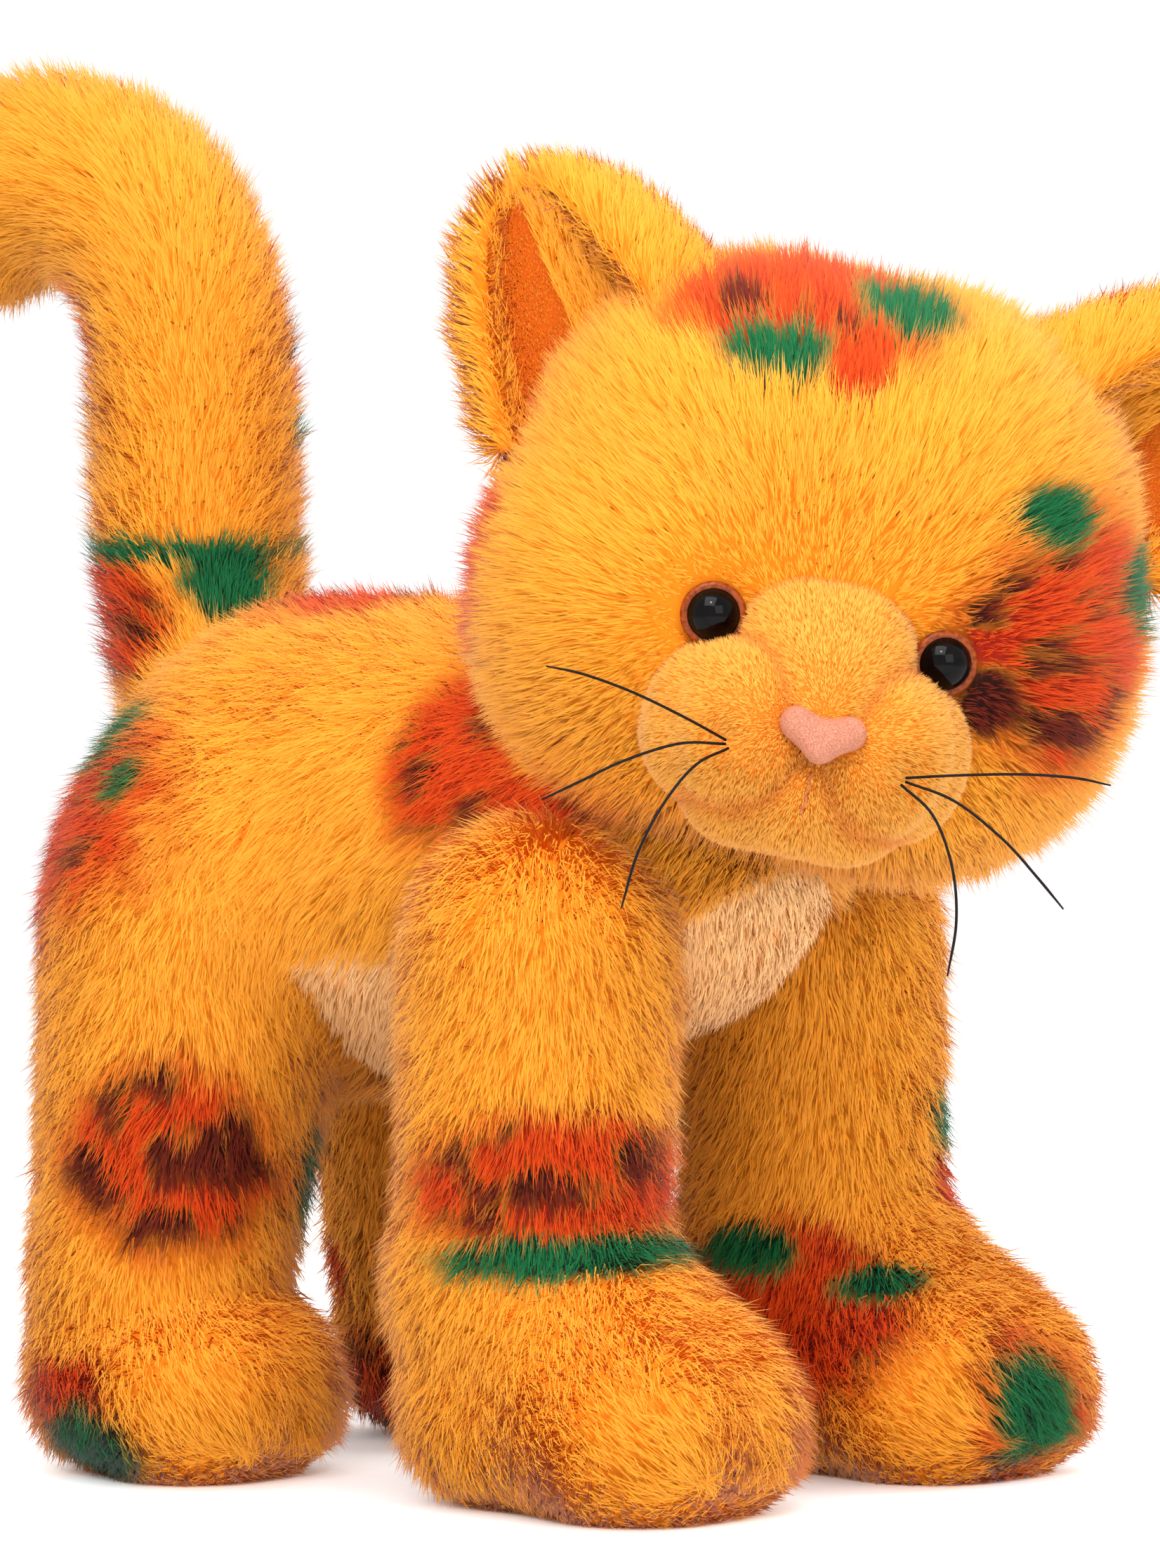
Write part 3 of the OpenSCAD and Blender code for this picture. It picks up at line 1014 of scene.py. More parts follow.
class Wardrobe:
    """Every finish of the cat, made once."""

    def __init__(self) -> None:
        """Makes the shared group and the materials."""
        group = pile_colour_group()
        # Root, middle and tip colours: the deeper roots are painted depth shade and the pale tips are painted
        # light.
        piles = (
            PileFinish(
                "gold_pile", linear(230, 132, 16), linear(234, 146, 28), linear(240, 164, 56), tone=0.08,
            ),
            PileFinish(
                "cream_pile", linear(244, 172, 98), linear(250, 192, 124), linear(253, 206, 146), tone=0.08,
            ),
            PileFinish(
                "muzzle_plush", linear(218, 120, 24), linear(234, 154, 50), linear(241, 172, 78), tone=0.09,
            ),
            PileFinish(
                "sole_plush", linear(236, 138, 64), linear(244, 156, 84), linear(250, 172, 106), tone=0.08,
            ),
            PileFinish(
                "ear_plush", linear(204, 92, 8), linear(220, 112, 14), linear(230, 130, 28), tone=0.08,
            ),
        )
        self.pile = {finish.name: finish.material(group) for finish in piles}
        plains = (
            PlainFinish(
                "nose_cloth", linear(164, 90, 62), linear(202, 130, 100), 2400.0, (0.3, 0.6), 0.5, sheen=0.1,
            ),
            PlainFinish("mouth_thread", linear(160, 74, 20), linear(206, 112, 40), 3000.0, (0.6, 0.8), 0.4),
            PlainFinish(
                "eye_plastic", linear(4, 3, 3), linear(9, 7, 6), 300.0, (0.05, 0.09), 0.0, specular=0.12,
            ),
            PlainFinish(
                "eye_rim", linear(104, 38, 6), linear(150, 66, 16), 700.0, (0.25, 0.4), 0.05, specular=0.2,
            ),
            PlainFinish(
                "washer_plastic", linear(200, 200, 196), linear(226, 226, 222), 500.0, (0.35, 0.5), 0.1,
            ),
            PlainFinish(
                "whisker_filament", linear(10, 6, 5), linear(22, 12, 10), 2500.0, (0.5, 0.65), 0.2,
                specular=0.15,
            ),
            PlainFinish(
                "stuffing", linear(214, 212, 206), linear(244, 243, 240), 420.0, (0.85, 0.95), 1.0, sheen=0.3,
            ),
        )
        self.plain = {finish.name: finish.material() for finish in plains}

    def __getitem__(self, name: str) -> bpy.types.Material:
        """A finish by name."""
        return self.pile.get(name) or self.plain[name]


# ---------------------------------------------------------------- the cat's pieces

LONG = Pile(length=12.5, width=0.48, each_mm2=1.42)
LEG = Pile(length=11.5, width=0.5, each_mm2=1.25, lean_root=30, lean_tip=60)
TAIL = Pile(length=12.5, width=0.48, each_mm2=1.4, lean_root=22, lean_tip=45)
EAR = Pile(length=10.0, width=0.45, each_mm2=2.2, lean_root=25, lean_tip=50)
BELLY = Pile(length=6.5, width=0.5, each_mm2=1.3, lean_root=35, lean_tip=65, gather=0.3)
PLUSH = Pile(
    length=2.4, width=0.34, each_mm2=4.0, lean_root=20, lean_tip=42,
    lock=2.2, gather=0.25, swirl=0.5, spread=0.2,
)
LINING = Pile(
    length=1.8, width=0.34, each_mm2=3.6, lean_root=20, lean_tip=45, lock=2.0, gather=0.2, spread=0.2,
)

TORSO = Form(
    balls=((0, -50, 185, 56), (0, 25, 179, 61), (0, 60, 177, 61.5), (-34, 64, 166, 51), (34, 64, 166, 51)),
    links=((0, 1), (1, 2), (2, 3), (2, 4)),
    softness=4.0,
)
HEAD_FORM = Form(
    balls=((-28, -8, -14, 57), (28, -8, -14, 57), (-20, -4, 18, 57), (20, -4, 18, 57), (0, 18, 4, 58)),
    links=((0, 1), (2, 3), (0, 2), (1, 3), (2, 4), (3, 4)),
    softness=3.0,
    dents=(
        Dent((-32.5, -66, -14.5), 9.0, 5.5),
        Dent((32.5, -66, -14.5), 9.0, 5.5),
        Dent((-23, -66, -21), 8.0, 3.0),
        Dent((23, -66, -21), 8.0, 3.0),
    ),
)
BRIDGE = Form(
    balls=((0, -66, -27, 22), (-6.5, -62, -17, 15.5), (6.5, -62, -17, 15.5), (0, -77, -35, 15)),
    links=((0, 1), (0, 2), (1, 2), (0, 3)),
    softness=2.0,
)
CHIN = Form(
    balls=((-13, -60, -54, 20), (13, -60, -54, 20), (0, -66, -52, 20)),
    links=((0, 2), (2, 1)),
    softness=1.5,
)
EYE_SPOTS = tuple(np.array([x * 32.5, -65.0, -14.5]) for x in (-1, 1))


HEAD_BLOTS = (
    Blot(Dye.ORANGE, (-19, -32, 66), (39, 34, 20), 0.42),
    Blot(Dye.BROWN, (-38, -36, 64), (5, 9, 5)),
    Blot(Dye.GREEN, (-27, -52, 53), (15, 12, 8)),
    Blot(Dye.GREEN, (7, -33, 70), (16, 14, 10)),
    Blot(Dye.ORANGE, (-6, -53, 52), (9, 9, 7), 0.2),
    Blot(Dye.ORANGE, (57, -46, -3), (31, 30, 35), 0.66),
    Blot(Dye.BROWN, (46, -62, -22), (8, 9, 9)),
    Blot(Dye.GREEN, (51, -55, 27), (13, 12, 9)),
    Blot(Dye.GREEN, (79, -26, 12), (13, 15, 13)),
    Blot(Dye.ORANGE, (-88, -2, -16), (13, 22, 25), 0.4),
    Blot(Dye.ORANGE, (24, 66, 22), (32, 24, 27), 0.5),
    Blot(Dye.GREEN, (42, 62, 40), (14, 14, 11)),
    Blot(Dye.ORANGE, (-44, 50, -30), (24, 26, 18), 0.5),
)
BODY_BLOTS = (
    Blot(Dye.ORANGE, (-54, -34, 208), (28, 22, 25), 0.66),
    Blot(Dye.ORANGE, (-56, -60, 192), (26, 24, 13), 0.66),
    Blot(Dye.ORANGE, (-60, 76, 176), (34, 32, 35), 0.5),
    Blot(Dye.GREEN, (-52, 88, 206), (16, 13, 16)),
    Blot(Dye.GREEN, (-64, 70, 196), (14, 8, 8)),
    Blot(Dye.ORANGE, (64, 14, 196), (20, 36, 30), 0.5),
    Blot(Dye.GREEN, (68, -14, 178), (16, 12, 11)),
    Blot(Dye.ORANGE, (6, 46, 240), (28, 32, 16), 0.5),
    Blot(Dye.GREEN, (24, 62, 238), (13, 13, 12)),
    Blot(Dye.ORANGE, (58, 104, 170), (26, 22, 24), 0.5),
)
FRONT_RIGHT_BLOTS = (
    Blot(Dye.ORANGE, (-54, -34, 208), (28, 22, 25), 0.66),
    Blot(Dye.ORANGE, (-78, -84, 95), (38, 34, 20), 0.74),
    Blot(Dye.GREEN, (-80, -92, 73), (40, 32, 7)),
)
FRONT_LEFT_BLOTS = (
    Blot(Dye.ORANGE, (32, -86, 50), (17, 38, 27), 0.4),
    Blot(Dye.GREEN, (30, -70, 68), (11, 15, 7)),
    Blot(Dye.GREEN, (41, -106, 57), (11, 13, 5)),
    Blot(Dye.ORANGE, (62, -136, 23), (22, 20, 21), 0.2),
    Blot(Dye.GREEN, (62, -137, 23), (17, 16, 17)),
    Blot(Dye.ORANGE, (84, -92, 84), (14, 16, 12), 0.3),
    Blot(Dye.GREEN, (84, -92, 105), (13, 16, 10)),
    Blot(Dye.ORANGE, (94, -50, 120), (18, 24, 26), 0.5),
)
HIND_RIGHT_BLOTS = (
    Blot(Dye.ORANGE, (-60, 76, 176), (34, 32, 35), 0.5),
    Blot(Dye.ORANGE, (-84, 50, 95), (28, 28, 29), 0.84),
    Blot(Dye.GREEN, (-47, 44, 92), (8, 10, 20)),
    Blot(Dye.ORANGE, (-100, 72, 26), (18, 18, 13), 0.2),
    Blot(Dye.GREEN, (-94, 64, 14), (18, 20, 13)),
)
HIND_LEFT_BLOTS = (
    Blot(Dye.ORANGE, (36, 76, 10), (15, 24, 26), 0.75),
    Blot(Dye.ORANGE, (34, 92, 55), (10, 11, 11), 0.2),
    Blot(Dye.ORANGE, (96, 84, 92), (18, 28, 24), 0.5),
    Blot(Dye.GREEN, (96, 70, 62), (16, 16, 10)),
)
TAIL_BLOTS = (
    Blot(Dye.ORANGE, (-20, 124, 240), (22, 22, 19), 0.6),
    Blot(Dye.GREEN, (-12, 112, 261), (32, 36, 3.6)),
    Blot(Dye.GREEN, (-14, 90, 251), (14, 12, 12)),
    Blot(Dye.ORANGE, (21, 94, 318), (11, 16, 20), 0.7),
    Blot(Dye.GREEN, (20, 93, 296), (10, 12, 7)),
    Blot(Dye.ORANGE, (-4, 140, 322), (20, 12, 24), 0.5),
    Blot(Dye.GREEN, (12, 172, 358), (12, 14, 10)),
)


def pad_form(side: Side) -> Form:
    """One muzzle pad, wide towards the cheek, with the whisker's dimple and the smile's end pulled in."""
    x = side.value
    return Form(
        balls=((x * 17, -68, -42, 23), (x * 25, -62, -39.5, 17.5), (x * 24, -60, -46, 18.5)),
        links=((0, 1), (0, 2), (1, 2)),
        softness=1.5,
        dents=(
            Dent((x * 26, -90, -45), 3.6, 3.0),
            Dent((x * 19, -84, -60), 4.0, 2.0),
            Dent((0, -92, -50), 4.0, 2.5),
        ),
    )


MUZZLE_FORMS = (BRIDGE, CHIN, pad_form(Side.LEFT), pad_form(Side.RIGHT))


def leg_form(side: Side, front: bool) -> Form:
    """A leg with its paw. The floor flattens the sole."""
    x = side.value
    if front:
        balls = (
            (x * 61, -66, 154, 33), (x * 64, -66, 62, 31.5), (x * 64, -68, 30, 30.5),
            (x * 57, -112, 24, 26.5), (x * 77, -113, 24, 26.5),
        )
        links = ((0, 1), (1, 2), (2, 3), (2, 4), (3, 4), (1, 3), (1, 4))
    else:
        balls = (
            (x * 52, 66, 156, 41), (x * 66, 70, 60, 30.5), (x * 68, 69, 30, 29.5),
            (x * 61, 50, 24, 26.5), (x * 77, 50, 24, 26.5),
        )
        links = ((0, 1), (1, 2), (2, 3), (2, 4), (3, 4))
    return Form(balls, links, softness=2.5, floor=0.8)


def deep_inside(form: Form, depth: float, place: Placement = CAT, inner: Placement = CAT) -> Masks:
    """A test for places more than depth inside a form, whose frame may not be the places' own."""

    def test(points: Array) -> Array:
        """True where the place is deep inside."""
        return form.gap(inner.back(place.out(points))) < -depth

    return test


def either(*tests: Masks) -> Masks:
    """A test that is true where any of the tests is."""

    def test(points: Array) -> Array:
        """True where any test is true."""
        return np.any([t(points) for t in tests], axis=0)

    return test


def stuff(
    name: str,
    grid: Grid,
    place: Placement,
    wardrobe: Wardrobe,
    body: str,
    nodes: Sequence[str],
) -> None:
    """Lays the stuffing inside a skin, as a padded piece that stands for its CAD nodes."""
    settle(lay_skin(name, grid, place, wardrobe["stuffing"]), body, nodes)


@dataclass
class Torso:
    """The body with its belly panel, its stuffing and the neck's stuffing."""

    centre: Point = (0.0, 10.0, 181.0)
    stretch: Point = (62.0, 118.0, 64.0)
    blots: tuple[Blot, ...] = BODY_BLOTS
    belly_front: tuple[float, float] = (112.0, 248.0)

    def nap(self, points: Array) -> Array:
        """Backwards and down, more steeply on the flanks."""
        down = 0.35 + 1.3 * ramp(np.abs(points[..., 0]), 15.0, 60.0)
        return np.stack([0.25 * np.sign(points[..., 0]), np.ones(len(points)), -down], axis=-1)

    def belly_nap(self, points: Array) -> Array:
        """Straight down and a little back."""
        return np.broadcast_to(np.array([0.0, 0.35, -1.0]), points.shape)

    def under_belly(self, points: Array) -> Array:
        """True in the belly panel's region of the sides."""
        angle = np.degrees(np.arctan2(np.abs(points[:, 0]), points[:, 2] - self.centre[2]))
        return (angle > self.belly_front[0] + 3) & (points[:, 1] < 22)

    def build(self, wardrobe: Wardrobe) -> None:
        """Makes the two sides, the belly panel and the stuffing."""
        hidden = [deep_inside(HEAD_FORM, 14.0, CAT, HEAD)]
        hidden += [deep_inside(leg_form(side, front), 16.0) for side in Side for front in (True, False)]
        for side, around in ((Side.LEFT, (0.0, 180.0)), (Side.RIGHT, (180.0, 360.0))):
            grid = TORSO.cast(self.centre, self.stretch, "Y", 90, 64, around)
            skin = lay_skin(f"torso_skin_{side.word}", grid, CAT, wardrobe["gold_pile"], self.blots)
            settle(skin, "torso", [f"torso_side_{side.word}"])
            coat = Coat(LONG, self.nap, self.blots, either(self.under_belly, *hidden))
            seeds = (11 + side.value, 21 + side.value)
            coat.cover(f"torso_coat_{side.word}", grid, CAT, wardrobe, "gold_pile", "torso", seeds)
        forwards = (84.0, 180.0)
        belly = TORSO.cast(self.centre, self.stretch, "Y", 60, 48, self.belly_front, forwards, inset=-0.6)
        skin = lay_skin("belly_skin", belly, CAT, wardrobe["cream_pile"])
        settle(skin, "torso", ["belly_panel"])
        coat = Coat(BELLY, self.belly_nap, (), either(*hidden))
        coat.cover("belly_coat", belly, CAT, wardrobe, "cream_pile", "torso", (31, 32))
        core = TORSO.cast(self.centre, self.stretch, "Y", 40, 48, inset=3.0)
        stuff("torso_stuffing", core, CAT, wardrobe, "torso", ["torso_filling"])
        neck = Form(((*NECK_PIVOT, 19.0),), ((0, 0),))
        ball = neck.cast(tuple(NECK_PIVOT), (20, 20, 20), rows=24, columns=32)
        stuff("neck_stuffing", ball, CAT, wardrobe, "neck", ["neck_filling"])


@dataclass
class Leg:
    """A stuffed leg with its paw and plush sole."""

    side: Side
    front: bool

    @property
    def blots(self) -> tuple[Blot, ...]:
        """The leg's printed patches."""
        if self.front:
            return FRONT_RIGHT_BLOTS if self.side is Side.RIGHT else FRONT_LEFT_BLOTS
        return HIND_RIGHT_BLOTS if self.side is Side.RIGHT else HIND_LEFT_BLOTS

    @property
    def name(self) -> str:
        """The leg's name, such as front_leg_left."""
        return f"{'front' if self.front else 'hind'}_leg_{self.side.word}"

    @property
    def centre(self) -> Point:
        """A place from which the whole leg is seen."""
        x = self.side.value
        return (x * 64.0, -76.0, 56.0) if self.front else (x * 66.0, 72.0, 58.0)

    def nap(self, points: Array) -> Array:
        """Down the leg, and forwards and outwards over the paw."""
        x, y, _ = self.centre
        low = 1.0 - ramp(points[..., 2], 25.0, 80.0)
        away = points - np.array([x, y + 12.0, 30.0])
        flow = np.zeros_like(points)
        flow[..., 2] = -1.0
        flow[..., 1] = 0.15
        flow[..., :2] += (low[..., None] * away[..., :2] / 22.0)
        return flow

    def bare(self, points: Array) -> Array:
        """True on the sole."""
        return points[..., 2] < 1.2

    def short(self, points: Array) -> Array:
        """Fibre length: shorter low on the paw, so that it doesn't reach through the floor."""
        return 0.45 + 0.55 * ramp(points[..., 2], 2.0, 16.0)

    def build(self, wardrobe: Wardrobe) -> None:
        """Makes the skin, the coat, the sole and the stuffing."""
        form = leg_form(self.side, self.front)
        reach = (34.0, 52.0, 112.0) if self.front else (38.0, 50.0, 110.0)
        grid = form.cast(self.centre, reach, "Z", 96, 84)
        body = f"front_leg_{self.side.word}" if self.front else "torso"
        nodes = [f"front_leg_{part}_{self.side.word}" for part in ("outer", "inner")] if self.front else []
        skin = lay_skin(f"{self.name}_skin", grid, CAT, wardrobe["gold_pile"], self.blots)
        settle(skin, body, nodes)
        hidden = [deep_inside(TORSO, 14.0)]
        coat = Coat(LEG, self.nap, self.blots, either(self.bare, *hidden), self.short, floor=0.3)
        own = self.side.value + 4 * self.front
        coat.cover(f"{self.name}_coat", grid, CAT, wardrobe, "gold_pile", body, (51 + own, 61 + own))
        self.build_sole(form, wardrobe, body)
        core = form.cast(self.centre, reach, "Z", 48, 40, inset=3.0)
        filling = [f"front_leg_filling_{self.side.word}"] if self.front else []
        stuff(f"{self.name}_stuffing", core, CAT, wardrobe, body, filling)

    def build_sole(self, form: Form, wardrobe: Wardrobe, body: str) -> None:
        """The sole: a flat plush disc under the paw that turns up at its edge."""
        x, y = (self.side.value * 65.0, -86.0) if self.front else (self.side.value * 69.0, 68.0)
        links = tuple((a - 2, b - 2) for a, b in form.links if a >= 2 and b >= 2)
        low = Form(form.balls[2:], links, form.softness)
        flat = low.cast((x, y, 1.5), (44, 60, 6), "Z", 30, 64, down=(88.0, 180.0), inset=-0.4)
        flat.points[..., 2] = np.clip(flat.points[..., 2], 0.25, None)
        where = flat.points[..., 2] <= 0.26
        flat.normals[where] = (0.0, 0.0, -1.0)
        prefix = "front" if self.front else "hind"
        sole = lay_skin(f"{prefix}_sole_plush_{self.side.word}", flat, CAT, wardrobe["sole_plush"])
        settle(sole, body, [f"{prefix}_sole_{self.side.word}"])


@dataclass
class Tail:
    """The upright tail that curls back at its tip, in two halves."""

    line: tuple[Point, ...] = (
        (0, 92, 201), (0, 106, 228), (0, 113, 258), (0, 115, 296), (0, 119, 332),
        (0, 131, 357), (-3, 150, 371), (-6, 172, 374), (-10, 193, 366),
    )
    radius: float = 22.8
    blots: tuple[Blot, ...] = TAIL_BLOTS

    def surface(self, radius: float, rows: int, columns: int, half: Optional[Side]) -> Grid:
        """The tail's skin or stuffing as a tube with round ends.

        The radius shrinks by the sine of an angle near each end, while the ring moves on by its cosine,
        which makes half balls. A half has only the rings' points on its own side.

        Args:
            radius: radius of the tube.
            rows: rings along it.
            columns: points in a ring.
            half: the side to make, or none for the whole tube.

        Returns:
            The grid, tip first.
        """
        middle = smooth_line(self.line, rows)
        start = unit(middle[1] - middle[0])
        end = unit(middle[-1] - middle[-2])
        angle = np.radians(np.linspace(88, 10, 9))[:, None]
        foot = middle[0] - start * radius * np.sin(angle)
        tip = middle[-1] + end * radius * np.sin(angle[::-1])
        middle = np.concatenate([foot, middle, tip])
        bulge = 1.0 + 0.035 * noise(middle, 30.0, 4)
        radii = np.concatenate([np.cos(angle[:, 0]), np.ones(rows), np.cos(angle[::-1, 0])]) * radius * bulge
        along = unit(np.gradient(middle, axis=0))
        side = unit(np.cross(along, np.array([1.0, 0.0, 0.0])))
        other = np.cross(side, along)
        whole = half is None
        low, high = (0.0, 2 * np.pi) if whole else ((0.0, np.pi) if half is Side.LEFT else (np.pi, 2 * np.pi))
        turn = np.linspace(low, high, columns, endpoint=not whole)[None, :, None]
        ring = np.cos(turn) * side[:, None] + np.sin(turn) * other[:, None]
        points = middle[:, None] + radii[:, None, None] * ring
        points[0], points[-1] = middle[0], middle[-1]
        normals = grid_normals(points, whole)
        outward = np.mean(np.sum(normals * ring, axis=-1))
        if outward < 0:
            points, normals = points[::-1], -normals[::-1]
        return Grid(points, normals, whole)

    def nap(self, points: Array) -> Array:
        """Along the tail towards its tip."""
        line = smooth_line(self.line, 60)
        way = unit(np.gradient(line, axis=0))
        nearest = np.argmin(np.linalg.norm(points[:, None] - line[None], axis=-1), axis=1)
        return way[nearest]

    def build(self, wardrobe: Wardrobe) -> None:
        """Makes both halves with their coats, and the stuffing."""
        hidden = deep_inside(TORSO, 14.0)
        for side in Side:
            grid = self.surface(self.radius, 90, 40, side)
            skin = lay_skin(f"tail_skin_{side.word}", grid, CAT, wardrobe["gold_pile"], self.blots)
            settle(skin, "tail", [f"tail_panel_{side.word}"])
            coat = Coat(TAIL, self.nap, self.blots, hidden)
            seeds = (71 + side.value, 81 + side.value)
            coat.cover(f"tail_coat_{side.word}", grid, CAT, wardrobe, "gold_pile", "tail", seeds)
        core = self.surface(self.radius - 3.0, 50, 32, None)
        stuff("tail_stuffing", core, CAT, wardrobe, "tail", ["tail_filling"])


@dataclass
class Head:
    """The head's three pile panels and its stuffing."""

    centre: Point = (0.0, 0.0, 0.0)
    stretch: Point = (85.0, 72.0, 74.0)
    gusset: float = 15.0
    socket: float = 10.2
    blots: tuple[Blot, ...] = HEAD_BLOTS

    def nap(self, points: Array) -> Array:
        """Away from the muzzle over the face, then back and down behind."""
        away = points - np.array([0.0, -92.0, -26.0])
        behind = ramp(points[..., 1], -10.0, 50.0)
        flow = unit(away)
        flow[..., 2] -= 1.1 * behind + 0.25 * ramp(-points[..., 2], 0.0, 30.0)
        return flow

    def from_eyes(self, points: Array) -> Array:
        """Distance to the nearer eye's middle."""
        return np.min([np.linalg.norm(points - spot, axis=-1) for spot in EYE_SPOTS], axis=0)

    def from_muzzle(self, points: Array) -> Array:
        """Distance outside the muzzle's panels."""
        return np.min([form.gap(points) for form in MUZZLE_FORMS], axis=0)

    def bare(self, points: Array) -> Array:
        """True in the eye sockets and under the muzzle."""
        return (self.from_eyes(points) < self.socket) | (self.from_muzzle(points) < -0.6)

    def short(self, points: Array) -> Array:
        """Fibre length: short beside the muzzle and round the eyes, full further out."""
        beside_muzzle = 0.38 + 0.62 * ramp(self.from_muzzle(points), 0.0, 30.0)
        round_eyes = 0.24 + 0.76 * ramp(self.from_eyes(points), 9.0, 34.0)
        return np.minimum(beside_muzzle, round_eyes)

    def build(self, wardrobe: Wardrobe) -> None:
        """Makes the gusset and both sides with their coats, and the stuffing."""
        g = self.gusset
        panels = (
            ("head_gusset", (-g, g), 30, "head_gusset"),
            ("head_left", (g, 180.0), 100, "head_side_left"),
            ("head_right", (180.0, 360.0 - g), 100, "head_side_right"),
        )
        hidden = either(self.bare, deep_inside(TORSO, 14.0, HEAD, CAT))
        for number, (name, around, columns, node) in enumerate(panels):
            grid = HEAD_FORM.cast(self.centre, self.stretch, "Y", 120, columns, around)
            skin = lay_skin(f"{name}_skin", grid, HEAD, wardrobe["gold_pile"], self.blots)
            settle(skin, "head", [node])
            coat = Coat(LONG, self.nap, self.blots, hidden, self.short)
            seeds = (91 + number, 95 + number)
            coat.cover(f"{name}_coat", grid, HEAD, wardrobe, "gold_pile", "head", seeds)
        core = HEAD_FORM.cast(self.centre, self.stretch, "Y", 60, 60, inset=3.5)
        stuff("head_stuffing", core, HEAD, wardrobe, "head", ["head_filling"])


@dataclass
class Muzzle:
    """The four short plush panels of the muzzle."""

    def nap(self, points: Array) -> Array:
        """Away from the nose and down."""
        return unit(points - np.array([0.0, -98.0, -38.0])) + np.array([0.0, 0.0, -0.25])

    def build(self, wardrobe: Wardrobe) -> None:
        """Makes the bridge, both pads and the chin, each with its plush."""
        pads = {side: pad_form(side) for side in Side}
        panels = (
            ("muzzle_bridge", BRIDGE, (0.0, -60.0, -20.0), (24.0, 30.0, 26.0)),
            ("muzzle_cheek_left", pads[Side.LEFT], (22.0, -62.0, -40.0), (26.0, 28.0, 24.0)),
            ("muzzle_cheek_right", pads[Side.RIGHT], (-22.0, -62.0, -40.0), (26.0, 28.0, 24.0)),
            ("muzzle_chin", CHIN, (0.0, -60.0, -53.0), (34.0, 24.0, 20.0)),
        )
        for number, (name, form, centre, reach) in enumerate(panels):
            grid = form.cast(centre, reach, "Y", 60, 72)
            skin = lay_skin(f"{name}_skin", grid, HEAD, wardrobe["muzzle_plush"])
            settle(skin, "head", [name])
            rest = [f for f in (BRIDGE, CHIN, *pads.values(), HEAD_FORM) if f is not form]

            def crease(points: Array, near: Sequence[Form] = rest) -> Array:
                """Painted shade: up to half of the orange dye where the next panel is close, standing in for
                the shade in a seam.
                """
                return 0.5 * (1.0 - ramp(np.min([f.gap(points) for f in near], axis=0), -1.5, 4.5))

            # The plush gets painted seam shade as orange where the next panel is close.
            coat = Coat(PLUSH, self.nap, (), either(*[deep_inside(f, 2.0) for f in rest]), tint=crease)
            seeds = (111 + number, 121 + number)
            coat.cover(f"{name}_plush", grid, HEAD, wardrobe, "muzzle_plush", "head", seeds)


